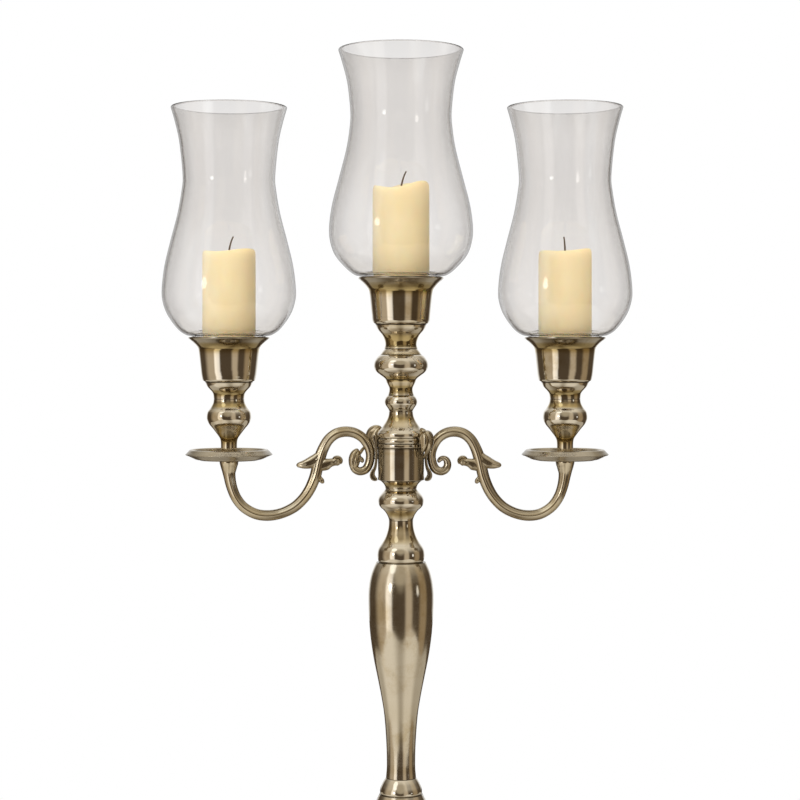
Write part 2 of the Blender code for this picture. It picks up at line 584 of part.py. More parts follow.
def branch(side, reach, turn, middle, lean):
    """An arm with everything that it carries."""
    arm(side, reach, turn, middle)
    arm_fixing(side, turn, middle)
    x = reach * math.cos(turn)
    arm_end = middle + ARM_END_HEIGHT
    pan_floor = drip_pan(side, x, arm_end)
    bore = CUP_SCREW_RADIUS + SCREW_CLEARANCE
    stem = bored(sized(CUP_STEM, CUP_STEM_RADIUS, CUP_STEM_HEIGHT), bore)
    lathe(side + "_cup_stem", stem, NICKEL).location = (x, 0, pan_floor + GAP)
    pocket = (CUP_SCREW_HEAD_RADIUS + POCKET_CLEARANCE, CUP_SCREW_HEAD_HEIGHT + POCKET_CLEARANCE)
    stem_top = pan_floor + GAP + CUP_STEM_HEIGHT
    lip, floor, well = cup(side + "_cup", SIDE_CUP_BOWL, SIDE_CUP_BODY, SIDE_CUP_FLANGE, SIDE_CUP_RADIUS,
                           SIDE_CUP_HEIGHT, SIDE_CUP_FLOOR, pocket, bore, x, stem_top)
    seat = floor - pocket[1] + GAP
    length = seat - (arm_end - CUP_SCREW_BITE)
    piece = screw(side + "_cup_screw", CUP_SCREW_RADIUS, length, CUP_SCREW_HEAD_RADIUS, CUP_SCREW_HEAD_HEIGHT)
    piece.rotation_euler.x = math.pi
    piece.location = (x, 0, seat + CUP_SCREW_HEAD_HEIGHT)
    shade(side + "_shade", SIDE_SHADE, SIDE_SHADE_BELLY, SIDE_SHADE_HEIGHT, SIDE_CUP_RADIUS, x, lip)
    candle(side, well, SIDE_CANDLE_HEIGHT, (SIDE_WICK_RISE, lean), x, floor)


def column():
    """The whole column from the felt to the centre shade; returns the height of the hub's middle."""
    top = foot()
    top = stack("foot_bead", FOOT_BEAD, FOOT_BEAD_RADIUS, FOOT_BEAD_HEIGHT, top)
    top = stack("lower_baluster", LOWER_BALUSTER, LOWER_BALUSTER_RADIUS, LOWER_BALUSTER_HEIGHT, top)
    top = stack("stem_bead", STEM_BEAD, STEM_BEAD_RADIUS, STEM_BEAD_HEIGHT, top)
    top = stack("main_baluster", MAIN_BALUSTER, MAIN_BALUSTER_RADIUS, MAIN_BALUSTER_HEIGHT, top)
    top = stack("bell_neck", BELL, BELL_RADIUS, BELL_HEIGHT, top)
    top = stack("stem_knop", STEM_KNOP, STEM_KNOP_RADIUS, STEM_KNOP_HEIGHT, top)
    middle, top = hub(top)
    top = hub_cap(top)
    top = stack("neck_bead", NECK_BEAD, NECK_BEAD_RADIUS, NECK_BEAD_HEIGHT, top)
    top = stack("cup_knop", CUP_KNOP, CUP_KNOP_RADIUS, CUP_KNOP_HEIGHT, top)
    pocket = (NUT_POCKET_RADIUS, NUT_POCKET_DEPTH)
    lip, floor, well = cup("centre_cup", CENTRE_CUP_BOWL, CENTRE_CUP_BODY, CENTRE_CUP_FLANGE,
                           CENTRE_CUP_RADIUS, CENTRE_CUP_HEIGHT, CENTRE_CUP_FLOOR, pocket,
                           ROD_RADIUS + ROD_CLEARANCE, 0, top)
    seat = floor - NUT_POCKET_DEPTH + GAP
    washer("cup_washer", seat)
    nut("cup_nut", seat + WASHER_THICKNESS + GAP)
    rod = rod_section(ROD_RADIUS, FELT_THICKNESS + GAP, floor - GAP)
    lathe("tie_rod", rod, STEEL, SMALL_SEGMENTS)
    shade("centre_shade", CENTRE_SHADE, CENTRE_SHADE_BELLY, CENTRE_SHADE_HEIGHT, CENTRE_CUP_RADIUS, 0, lip)
    candle("centre", well, CENTRE_CANDLE_HEIGHT, (CENTRE_WICK_RISE, CENTRE_WICK_LEAN), 0, floor)
    return middle


def main():
    clear_scene()
    middle = column()
    branch("left", LEFT_REACH, math.pi, middle, LEFT_WICK_LEAN)
    branch("right", RIGHT_REACH, 0.0, middle, RIGHT_WICK_LEAN)


main()
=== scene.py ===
"""The look of the three-light candelabra: antiqued nickel, blown glass, ivory wax and a soft studio.

The turned pieces, the arms, the shades and the candles are built here in fine mesh over the CAD nodes
that they replace. Units are metres, +Z is up, +X points along the right arm, and the viewer is at -Y.
"""

import math

import bpy
from mathutils import Matrix, Vector


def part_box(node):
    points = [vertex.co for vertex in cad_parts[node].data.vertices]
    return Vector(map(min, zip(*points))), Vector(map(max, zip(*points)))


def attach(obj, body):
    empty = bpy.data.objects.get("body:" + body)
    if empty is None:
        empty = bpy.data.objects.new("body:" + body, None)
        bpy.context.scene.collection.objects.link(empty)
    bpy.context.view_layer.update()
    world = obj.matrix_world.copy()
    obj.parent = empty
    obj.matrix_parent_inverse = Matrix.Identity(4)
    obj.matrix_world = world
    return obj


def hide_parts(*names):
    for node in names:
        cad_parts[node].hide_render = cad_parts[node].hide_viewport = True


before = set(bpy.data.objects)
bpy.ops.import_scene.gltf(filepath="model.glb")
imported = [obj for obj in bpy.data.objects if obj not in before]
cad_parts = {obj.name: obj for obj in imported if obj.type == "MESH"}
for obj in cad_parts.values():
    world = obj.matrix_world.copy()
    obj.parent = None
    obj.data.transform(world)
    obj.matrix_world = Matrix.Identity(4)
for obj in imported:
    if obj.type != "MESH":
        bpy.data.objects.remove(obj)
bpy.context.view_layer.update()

SIDES = {"left": math.pi, "right": 0.0}

# Fineness of the meshes, and the angles in degrees above which their edges stay crisp
TURNED_SEGMENTS = 96
CURVE_STEPS = 6
STRAIGHT_STEPS = 12
RIM_STEPS = 8
ARM_SIDES = 64
ARM_STEPS = 8
LEAF_SIDES = 24
WICK_SIDES = 12
WICK_STEPS = 4
TURNED_SHARPNESS = 40.0
CAST_SHARPNESS = 85.0
GLASS_SHARPNESS = 60.0
WAX_SHARPNESS = 70.0

# Small sizes that the turned pieces share
ROD_HOLE = 0.0052
SCREW_HOLE = 0.0025
CORNER_ROUND = 0.00022
SEAT_DEPTH = 0.00028
SEAT_INSET = 0.0007

# Foot: thickness of its ceiling, radius of its boss, and its hollow as radii and shares of the height
FOOT_CEILING = 0.0025
FOOT_BOSS_RADIUS = 0.0200
FOOT_HOLLOW = [(0.024, 0.80), (0.045, 0.60), (0.084, 0.30), (0.092, 0.16), (0.117, 0.0)]

# Hub
HUB_HOLLOW_RADIUS = 0.0170
HUB_FLOOR = 0.0100
SPIGOT_DEPTH = 0.0030
SPIGOT_GAP = 0.0003

# Cups
CUP_WALL = 0.0015
CUP_LIP = 0.0004
CUP_DISH_WIDTH = 0.0046
CUP_DISH_SLOPE = 0.85
CUP_FLOOR_GAP = 0.0003
POCKET_DEPTH = 0.0104
POCKET_TO_BORE = 2.2

# Shades
GLASS_THICKNESS = 0.0022
SHADE_LIP_INSET = 0.0033
SHADE_LIP_RISE = 0.0006
SHADE_DISH_GAP = 0.0003

# Every point carries two marks for its material, named after what they mean on metal: the first for patina in
# fine hollows together with painted shade, the second, shelter, for tarnish in broad hollows. On glass, the
# first is the place on the wall, and below zero on the inside, with painted shade on the back of the rim. On
# wax, the two are a painted glow on the melted rim and painted shade on the side away from the key lamp.
GRIME_REACH = 0.0012
GRIME_DEPTH = 0.00030
SHELTER_REACH = 0.0060
SHELTER_DEPTH = 0.0010
END_GRIME = 0.70
END_REACH = GRIME_REACH / 3
BORE_MARKS = (0.5, 0.5)
CAST_SHELTER = 0.3
# Painted shade under the cups' flanges
FLANGE_SHADE = 0.38
FLANGE_FADE = 0.06
# The drip pans darker all over, and painted shade at the left and right of the pans and of the hub
PAN_DARKNESS = 0.36
PAN_SIDES = (0.70, 0.25)
PAN_SIDE_GAIN = 1.8
HUB_SIDE_SHADE = 0.45
HUB_SIDES = (0.50, 0.22)
GLASS_INSIDE = -1.0
GLASS_FOOT = 0.5
GLASS_LIP_START = 0.86
GLASS_LIP_RISE = 0.35
# The rim's mark, raised on the back half of the rim for painted shade there
GLASS_RIM_MARK = 0.85

# Camera
CAMERA_DISTANCE = 1.786
CAMERA_HEIGHT = 0.7019
CAMERA_OFFSET = -0.0009
CAMERA_LENS = 90.0
CAMERA_SENSOR = 36.0
CAMERA_SHIFT = -0.0625

# Outlines of the turned pieces, from the bottom up: strokes of shares of the piece's radius and height,
# smooth along a stroke, with a crisp corner where one stroke meets the next
BASE_FOOT = [
    [(0.988, 0.0), (0.998, 0.018), (1.0, 0.04), (0.994, 0.065), (0.975, 0.085)],
    [(0.975, 0.085), (0.95, 0.098), (0.905, 0.113), (0.86, 0.137), (0.815, 0.18), (0.782, 0.23),
     (0.765, 0.262)],
    [(0.765, 0.262), (0.748, 0.27), (0.73, 0.276)],
    [(0.73, 0.276), (0.728, 0.3), (0.721, 0.325)],
    [(0.721, 0.325), (0.69, 0.375), (0.64, 0.437), (0.58, 0.497), (0.515, 0.543), (0.44, 0.59),
     (0.375, 0.63), (0.322, 0.672), (0.28, 0.722), (0.245, 0.775), (0.22, 0.83), (0.203, 0.885),
     (0.196, 0.925)],
    [(0.196, 0.925), (0.208, 0.938), (0.214, 0.955), (0.21, 0.975), (0.196, 0.99), (0.175, 1.0)]]
FOOT_BEAD = [[(0.8, 0.0), (0.92, 0.12), (0.985, 0.3), (1.0, 0.5), (0.985, 0.7), (0.92, 0.88), (0.8, 1.0)]]
LOWER_BALUSTER = [
    [(0.56, 0.0), (0.548, 0.012), (0.52, 0.02)],
    [(0.52, 0.02), (0.485, 0.05), (0.465, 0.09), (0.462, 0.13), (0.48, 0.18), (0.515, 0.24),
     (0.57, 0.32), (0.65, 0.41), (0.74, 0.505), (0.83, 0.595), (0.91, 0.68), (0.97, 0.76),
     (1.0, 0.84), (0.988, 0.89), (0.945, 0.93), (0.87, 0.96), (0.8, 0.98), (0.735, 1.0)]]
STEM_BEAD = [
    [(0.975, 0.0), (0.998, 0.08), (1.0, 0.2), (0.967, 0.386), (0.904, 0.576), (0.833, 0.766), (0.76, 0.92),
     (0.715, 1.0)]]
MAIN_BALUSTER = [
    [(0.456, 0.0), (0.452, 0.011), (0.436, 0.04), (0.433, 0.075), (0.441, 0.136), (0.471, 0.219),
     (0.522, 0.303), (0.612, 0.386), (0.722, 0.47), (0.832, 0.553), (0.917, 0.637), (0.972, 0.72),
     (0.996, 0.8), (0.998, 0.855), (0.969, 0.901), (0.933, 0.929), (0.881, 0.957), (0.804, 0.985),
     (0.752, 1.0)]]
BELL = [
    [(0.945, 0.0), (0.975, 0.05), (0.998, 0.125), (0.994, 0.205), (0.97, 0.285), (0.915, 0.355),
     (0.83, 0.425), (0.742, 0.498), (0.67, 0.57), (0.618, 0.642), (0.578, 0.714),
     (0.545, 0.786), (0.525, 0.858), (0.517, 0.93), (0.517, 1.0)]]
STEM_KNOP = [
    [(0.535, 0.0), (0.56, 0.08), (0.62, 0.18), (0.71, 0.275), (0.8, 0.345)],
    [(0.8, 0.345), (0.87, 0.385), (0.955, 0.465), (0.998, 0.565), (0.992, 0.66), (0.94, 0.753),
     (0.835, 0.847), (0.725, 0.93), (0.68, 1.0)]]
HUB = [
    [(0.668, 0.0), (0.69, 0.05), (0.745, 0.092), (0.85, 0.14), (0.925, 0.158)],
    [(0.925, 0.158), (0.968, 0.166), (0.974, 0.185)],
    [(0.974, 0.185), (0.974, 0.815)],
    [(0.974, 0.815), (0.995, 0.826), (1.0, 0.85), (0.992, 0.88), (0.96, 0.892)],
    [(0.96, 0.892), (0.985, 0.91), (1.0, 0.94), (0.99, 0.97), (0.96, 1.0)]]
HUB_CAP = [
    [(0.955, 0.0), (0.99, 0.05), (1.0, 0.11), (0.992, 0.175), (0.95, 0.235)],
    [(0.95, 0.235), (0.905, 0.294), (0.79, 0.408), (0.705, 0.523), (0.622, 0.637), (0.558, 0.752),
     (0.52, 0.866), (0.505, 1.0)]]
NECK_BEAD = [
    [(0.73, 0.0), (0.76, 0.12), (0.87, 0.29), (0.975, 0.46), (1.0, 0.6), (0.975, 0.75),
     (0.9, 0.9), (0.815, 1.0)]]
CUP_KNOP = [
    [(0.48, 0.0), (0.44, 0.07), (0.428, 0.12), (0.44, 0.17), (0.485, 0.225), (0.535, 0.286),
     (0.56, 0.34)],
    [(0.56, 0.34), (0.64, 0.385), (0.76, 0.435), (0.875, 0.485), (0.955, 0.54), (0.995, 0.6),
     (1.0, 0.66), (0.97, 0.733), (0.905, 0.797)],
    [(0.905, 0.797), (0.83, 0.845), (0.765, 0.868), (0.73, 0.895)],
    [(0.73, 0.895), (0.7, 0.925), (0.65, 0.965), (0.6, 1.0)]]
CUP_STEM = [
    [(0.43, 0.0), (0.395, 0.03), (0.372, 0.08), (0.366, 0.16), (0.372, 0.26), (0.415, 0.325),
     (0.5, 0.375), (0.606, 0.429), (0.745, 0.498), (0.895, 0.567), (0.985, 0.64), (1.0, 0.7),
     (0.965, 0.775), (0.9, 0.815)],
    [(0.9, 0.815), (0.835, 0.845), (0.77, 0.885), (0.725, 0.92)],
    [(0.725, 0.92), (0.7, 0.95), (0.69, 1.0)]]
CENTRE_CUP = [
    [(0.395, 0.0), (0.368, 0.035), (0.368, 0.08), (0.384, 0.119), (0.412, 0.161), (0.455, 0.203),
     (0.52, 0.245), (0.567, 0.287), (0.59, 0.325)],
    [(0.59, 0.325), (0.597, 0.338), (0.64, 0.352)],
    [(0.64, 0.352), (0.662, 0.372), (0.676, 0.4), (0.68, 0.43)],
    [(0.68, 0.43), (0.698, 0.539), (0.742, 0.795)],
    [(0.742, 0.795), (0.765, 0.833), (0.815, 0.875), (0.88, 0.917), (0.95, 0.952), (0.992, 0.975)],
    [(0.992, 0.975), (1.0, 0.985), (0.992, 1.0)]]
SIDE_CUP = [
    [(0.376, 0.0), (0.38, 0.04), (0.388, 0.075), (0.41, 0.107), (0.45, 0.139), (0.5, 0.172),
     (0.54, 0.204), (0.565, 0.237), (0.58, 0.262)],
    [(0.58, 0.262), (0.59, 0.275), (0.632, 0.29)],
    [(0.632, 0.29), (0.652, 0.308), (0.662, 0.335)],
    [(0.662, 0.335), (0.686, 0.431), (0.743, 0.788)],
    [(0.743, 0.788), (0.755, 0.82), (0.785, 0.853), (0.83, 0.885), (0.885, 0.917), (0.95, 0.95),
     (0.99, 0.972)],
    [(0.99, 0.972), (1.0, 0.983), (0.992, 1.0)]]
DRIP_PAN = [
    [(0.683, 0.0), (0.77, 0.075), (0.86, 0.245), (0.935, 0.39), (0.985, 0.47), (1.0, 0.52),
     (0.985, 0.6), (0.945, 0.77), (0.91, 0.93), (0.885, 0.995), (0.86, 0.99), (0.835, 0.9)],
    [(0.835, 0.9), (0.795, 0.64), (0.745, 0.4), (0.69, 0.29), (0.6, 0.265), (0.48, 0.26)]]

# Outlines of the shades above the foot: share of the way out from the foot to the belly, and of the height
CENTRE_SHADE = [
    (0.214, 0.02), (0.475, 0.048), (0.817, 0.105), (0.97, 0.165), (1.0, 0.23), (0.912, 0.325),
    (0.705, 0.44), (0.475, 0.57), (0.372, 0.67), (0.36, 0.735), (0.445, 0.85), (0.58, 0.93), (0.729, 1.0)]
SIDE_SHADE = [
    (0.208, 0.02), (0.483, 0.046), (0.81, 0.105), (0.967, 0.16), (1.0, 0.215), (0.911, 0.315),
    (0.71, 0.425), (0.48, 0.54), (0.345, 0.64), (0.312, 0.705), (0.42, 0.845), (0.56, 0.93), (0.714, 1.0)]

# An arm's spine from the curl's tip to the collar: distance out from the scroll's root, height over
# the hub's middle, width seen from the front, and depth from front to back
SCROLL_ROOT = 0.0232
SPINE_REACH = 0.13
ARM_SPINE = [
    (0.0126, 0.0008, 0.002, 0.0024), (0.0117, 0.002, 0.0042, 0.005), (0.0131, 0.0038, 0.0044, 0.0054),
    (0.016, 0.0042, 0.0048, 0.006), (0.0184, 0.0024, 0.006, 0.0068), (0.0194, -0.0014, 0.0068, 0.0076),
    (0.0178, -0.0053, 0.0073, 0.008),
    (0.0135, -0.0074, 0.0075, 0.0082), (0.0083, -0.0056, 0.0079, 0.0084), (0.0052, -0.0002, 0.008, 0.0086),
    (0.0042, 0.0076, 0.008, 0.0086), (0.0063, 0.0156, 0.0086, 0.0088), (0.0112, 0.0226, 0.0089, 0.009),
    (0.0185, 0.0269, 0.0092, 0.0092), (0.0265, 0.028, 0.0094, 0.0092), (0.0345, 0.0262, 0.0095, 0.0092),
    (0.041, 0.0212, 0.0096, 0.0092), (0.0454, 0.0142, 0.0098, 0.0092), (0.0486, 0.0062, 0.0104, 0.0094),
    (0.051, -0.0027, 0.0104, 0.0094), (0.0529, -0.0107, 0.0104, 0.0094), (0.0553, -0.0174, 0.0101, 0.0094),
    (0.0589, -0.0248, 0.0099, 0.0094), (0.0642, -0.0323, 0.0096, 0.0094), (0.0722, -0.0396, 0.0095, 0.0094),
    (0.0831, -0.0448, 0.0094, 0.0094), (0.0947, -0.0469, 0.0096, 0.0094), (0.1062, -0.0455, 0.0095, 0.0094),
    (0.1167, -0.0396, 0.0093, 0.0094), (0.1236, -0.0311, 0.0094, 0.0094), (0.1277, -0.0209, 0.0098, 0.0098),
    (0.1297, -0.0107, 0.0111, 0.0111), (0.13, -0.0046, 0.0142, 0.0142), (0.13, -0.0008, 0.0164, 0.0164),
    (0.13, 0.0012, 0.0168, 0.0168), (0.13, 0.0023, 0.016, 0.016)]

# The leaves that spring from an arm, measured like its spine
INNER_LEAF = [
    (0.0496, -0.0044, 0.007, 0.006), (0.044, -0.0014, 0.0106, 0.0076), (0.0396, 0.0002, 0.0078, 0.0078),
    (0.0362, 0.001, 0.0072, 0.008), (0.0338, 0.0016, 0.0084, 0.0084), (0.0315, 0.0018, 0.0064, 0.007),
    (0.0303, 0.0018, 0.0024, 0.003)]
INNER_KNOB = [
    (0.0376, 0.003, 0.0026, 0.0046), (0.0352, 0.0042, 0.0046, 0.008), (0.0326, 0.004, 0.0052, 0.0088),
    (0.0309, 0.0024, 0.0048, 0.0084), (0.0306, 0.0006, 0.0034, 0.0066), (0.0316, -0.0006, 0.0016, 0.0034)]
OUTER_LEAF = [
    (0.045, 0.016, 0.0026, 0.004), (0.048, 0.0095, 0.0066, 0.007), (0.052, 0.0038, 0.01, 0.0086),
    (0.0572, 0.0004, 0.0104, 0.0092), (0.0624, -0.0012, 0.0082, 0.0084), (0.0664, -0.0017, 0.0058, 0.0064),
    (0.0689, -0.0019, 0.0038, 0.0042), (0.07, -0.0019, 0.0014, 0.0016)]
SPUR = [
    (0.0516, -0.007, 0.005, 0.005), (0.0494, -0.0128, 0.004, 0.0044), (0.0477, -0.0154, 0.0046, 0.005),
    (0.047, -0.0172, 0.004, 0.0044), (0.047, -0.0184, 0.0018, 0.002)]
CURL_BULB = [
    (0.0186, -0.0064, 0.0044, 0.0056), (0.0188, -0.0024, 0.0086, 0.0096), (0.0183, 0.0026, 0.0108, 0.011),
    (0.0172, 0.007, 0.0102, 0.01), (0.0156, 0.0101, 0.0072, 0.0078), (0.014, 0.011, 0.0028, 0.0036)]
CURL_LEAF = [
    (0.0085, 0.015, 0.0018, 0.003), (0.0108, 0.0125, 0.0028, 0.0046), (0.0128, 0.0096, 0.003, 0.0046),
    (0.0143, 0.0066, 0.0014, 0.002)]

# The arm's moulding: a crest that wanders over the width, as start, length and shift of each move along
# the arm, with a groove beside it, in half widths of the section; its relief is in half depths
CREST_PLACE = 0.26
CREST_MOVES = [(0.3, 0.25, -0.5), (0.55, 0.2, 0.28)]
CREST_WIDTH = 0.3
CREST_HEIGHT = 0.07
GROOVE_OFFSET = 0.52
GROOVE_WIDTH = 0.2
GROOVE_DEPTH = 0.06
MOULDING_LEVEL = 0.88
MOULDING_END = (0.9, 0.06)
# Painted shade on the moulding away from its crest, which stays bright as a painted highlight; patina in the
# groove; painted shade towards the arm's edges
MOULDING_SHADE = 0.24
GROOVE_GRIME = 0.42
ARM_EDGE_SHADE = 0.72

# The leaves' veins and ribs, in the same measures
VEIN_WIDTH = 0.13
VEIN_DEPTH = 0.18
RIB_HEIGHT = 0.1
LEAF_LEVEL = 0.9
VEIN_GRIME = 0.4
RIB_GRIME = 0.3
# Painted shade towards the leaves' edges
LEAF_EDGE_SHADE = 0.66

# The cradle between hub and arm: distance out from the hub's rim, height over its middle, thickness
HUB_RIM_RADIUS = 0.0212
CRADLE_WIDTH = 0.008
CRADLE_FULLNESS = 1.2
STRAP_SQUARENESS = 0.35
# The cradle is made darker all over
STRAP_DARKNESS = 0.35
CRADLE = [
    (0.003, 0.025, 0.0012), (0.0026, 0.0237, 0.0034), (0.0018, 0.0201, 0.0026), (0.0013, 0.0152, 0.002),
    (0.001, 0.0089, 0.002), (0.001, 0.002, 0.002), (0.002, -0.004, 0.0024), (0.0038, -0.0078, 0.0032),
    (0.0044, -0.0108, 0.004), (0.0034, -0.0132, 0.0042), (0.0014, -0.0142, 0.0032), (0.0, -0.014, 0.0018)]

# The curled leaf beside each arm: distance out from the hub's rim, height, thickness and width
HUB_LEAF_AZIMUTH = math.radians(-38.0)
SHELL_SIZE = {"left": 1.35, "right": 0.75}
HUB_SHELL = [
    (0.004, 0.0105, 0.0024, 0.0034), (0.0062, 0.0145, 0.0084, 0.0076), (0.0072, 0.0195, 0.0124, 0.0098),
    (0.0066, 0.0245, 0.0126, 0.0098), (0.0046, 0.0282, 0.0096, 0.008), (0.0026, 0.0306, 0.005, 0.005),
    (0.0016, 0.0316, 0.0016, 0.002)]
HUB_LEAF = [
    (0.0018, 0.0178, 0.003, 0.0084), (0.003, 0.0237, 0.0032, 0.009), (0.0064, 0.0282, 0.0032, 0.0092),
    (0.0103, 0.0269, 0.0032, 0.009), (0.0123, 0.0213, 0.003, 0.0084), (0.011, 0.0148, 0.0028, 0.0072),
    (0.0074, 0.0096, 0.0024, 0.005), (0.004, 0.0053, 0.0012, 0.0016)]

# A candle's section as shares of its radius and height, with the share of the melt's waves that each row
# takes; then the depth of the waves and how far their crest stands over the section
CANDLE_GAP = 0.0004
POOL_LEVEL = 0.9565
CANDLE_SECTION = [
    (0.3, 0.0, 0.0), (0.985, 0.0, 0.0), (1.0, 0.008, 0.0), (1.0, 0.3, 0.0), (1.0, 0.6, 0.0),
    (1.0, 0.8, 0.1), (0.999, 0.9, 0.3), (0.996, 0.95, 0.6), (0.988, 0.978, 0.9), (0.97, 0.993, 1.0),
    (0.945, 1.0, 1.0), (0.915, 0.997, 1.0), (0.88, 0.985, 0.8), (0.82, 0.972, 0.5), (0.7, 0.963, 0.2),
    (0.5, 0.958, 0.0), (0.25, POOL_LEVEL, 0.0), (0.06, POOL_LEVEL, 0.0)]
CANDLE_MELT = {"centre": (0.009, 0.006), "left": (0.0036, 0.0012), "right": (0.0036, 0.0012)}

# A wick's bend as shares of how far it leans and rises, and its sizes
WICK_BEND = [(0.0, 0.0), (0.08, 0.3), (0.3, 0.55), (0.62, 0.8), (1.0, 1.0)]
WICK_LEAN = {"centre": 0.0045, "left": 0.0037, "right": -0.001}
WICK_WIDTH = 0.0019
WICK_TAPER = 0.0007
WICK_ROOT = 0.003
WICK_TIP = 0.0004
WICK_TIP_LEAN = 1.06

# Colours of the finishes, with the painted shade and glow colours for glass and wax among them
NICKEL = (0.77, 0.715, 0.615)
TARNISH = (0.54, 0.44, 0.28)
GOLDEN_TARNISH = (0.55, 0.41, 0.16)
PATINA = (0.050, 0.036, 0.020)
GLASS_THIN = (0.928, 0.916, 0.908)
GLASS_TINT = (0.810, 0.792, 0.779)
GLASS_LIP = (0.735, 0.718, 0.706)
# Painted shade on the back of the glass rim
GLASS_BACK_RIM_SHADE = (0.360, 0.355, 0.350)
GLASS_STREAK = (0.93, 0.925, 0.92)
# Painted shade where the glass is seen edge on
GLASS_EDGE_SHADE = (0.62, 0.615, 0.61)
GLASS_SHADOW = (0.93, 0.93, 0.92)
IVORY = (0.945, 0.83, 0.58)
# Painted shade on the candles' side away from the key lamp
IVORY_SHADED = (0.94, 0.76, 0.44)
IVORY_DEEP = (0.89, 0.70, 0.37)
# Painted glow of the candles' melted rims
WAX_PAINTED_GLOW = (1.0, 0.78, 0.45)
COTTON = (0.060, 0.035, 0.020)
COTTON_ASH = (0.16, 0.11, 0.07)
FELT = (0.050, 0.085, 0.060)
FELT_PALE = (0.090, 0.130, 0.095)
IRON = (0.045, 0.045, 0.048)
IRON_RUST = (0.10, 0.065, 0.045)
STEEL = (0.50, 0.50, 0.50)
STEEL_DARK = (0.34, 0.34, 0.35)
FLOOR = (0.93, 0.922, 0.91)
FLOOR_DARK = (0.902, 0.894, 0.883)
WHITE = (1.0, 1.0, 1.0)

# The studio, as mirrors see it: bearing from the camera's side in degrees, positive to the right, half
# width, softness of the edges, and colour
STUDIO_DARK = (0.090, 0.066, 0.043)
STUDIO_CEILING = (0.86, 0.80, 0.68)
SOFTBOXES = [
    (-44.0, 7.0, 9.0, (0.98, 0.96, 0.93)), (-72.0, 9.0, 30.0, (0.42, 0.36, 0.27)),
    (28.0, 6.0, 12.0, (0.44, 0.38, 0.29)), (86.0, 8.0, 16.0, (0.26, 0.20, 0.12))]

# Round lights in the studio: bearing and height, radius of the core and of the soft edge, and colour
ROUND_LIGHTS = [
    (-42.0, 44.0, 10.0, 14.0, (1.50, 1.50, 1.43)), (-39.0, 9.5, 2.4, 5.5, (6.20, 6.20, 5.95)),
    (-2.0, 30.0, 3.0, 31.0, (0.46, 0.40, 0.30)), (61.0, 3.0, 1.2, 6.0, (1.15, 1.15, 1.13))]

# What else mirrors see: heights over which the ceiling brightens, bearings over which the backdrop begins,
# and the floor far off and close by, painted with pools of light under the softboxes and with shadow near the
# candelabra
CEILING_HEIGHTS = (3.0, 70.0)
BACKDROP_EDGE = (136.0, 164.0)
MIRRORED_FLOOR = (0.50, 0.455, 0.375)
MIRRORED_FLOOR_GLOWS = [(-58.0, 22.0, 32.0, (0.34, 0.33, 0.31)), (42.0, 14.0, 30.0, (0.30, 0.29, 0.27))]
NEAR_FLOOR_SHADOW = (0.20, 0.155, 0.10)
NEAR_FLOOR_GLOWS = [(-58.0, 22.0, 32.0, (0.204, 0.198, 0.186)), (42.0, 14.0, 30.0, (0.18, 0.174, 0.162))]
AMBIENT = (0.56, 0.56, 0.56)

# The floor: its radius, and the distances over which it fades into the backdrop; for mirrors, those over
# which it brightens and where it ends, at an edge that waves in and out with the bearing
FLOOR_RADIUS = 3.0
FLOOR_FADE = (0.42, 1.10)
MIRRORED_FLOOR_RISE = (0.18, 0.75)
MIRRORED_FLOOR_EDGE = (1.26, 1.36)
FLOOR_WAVES = 4.235
FLOOR_WAVE_DEPTH = 0.20

# Lamps: place, width, power and colour
LAMP_AIM = (0.0, 0.0, 0.6)
LAMPS = {
    "key_lamp": ((-1.3, -1.7, 1.7), 1.1, 34.0, (1.0, 0.98, 0.95)),
    "fill_lamp": ((1.6, -1.2, 1.1), 1.2, 10.0, (1.0, 0.95, 0.88))}


def ramp(value, start, width):
    """Rises from 0 at the start to 1 after the width, and stays level on both sides."""
    return min(max((value - start) / width, 0.0), 1.0)


def smooth(points, steps=CURVE_STEPS):
    """Points on a smooth curve through the given ones; a stroke of two points stays straight."""
    rows = [Vector(point) for point in points]
    if len(rows) == 2:
        return [rows[0].lerp(rows[1], step / STRAIGHT_STEPS) for step in range(STRAIGHT_STEPS + 1)]
    rows = [rows[0] * 2 - rows[1], *rows, rows[-1] * 2 - rows[-2]]
    curve = []
    for before, start, end, after in zip(rows, rows[1:], rows[2:], rows[3:]):
        for step in range(steps):
            t = step / steps
            bend = (end - before) * t + (before * 2 - start * 5 + end * 4 - after) * t ** 2
            bend += (start * 3 - before - end * 3 + after) * t ** 3
            curve.append(start + bend / 2)
    curve.append(rows[-2])
    return curve


def outline_of(strokes, radius, height):
    """Joins the strokes of a turned piece's outline, with a small round at each corner."""
    outline = []
    for stroke in strokes:
        curve = smooth([(share * radius, level * height) for share, level in stroke])
        curve = [Vector((min(row.x, radius), row.y)) for row in curve]
        if outline:
            corner = outline.pop()
            back = outline[-1] - corner
            ahead = curve[1] - corner
            start = corner + back.normalized() * min(CORNER_ROUND, back.length / 2)
            end = corner + ahead.normalized() * min(CORNER_ROUND, ahead.length / 2)
            curve[:1] = [start, (corner * 2 + start + end) / 4, end]
        outline += curve
    return outline


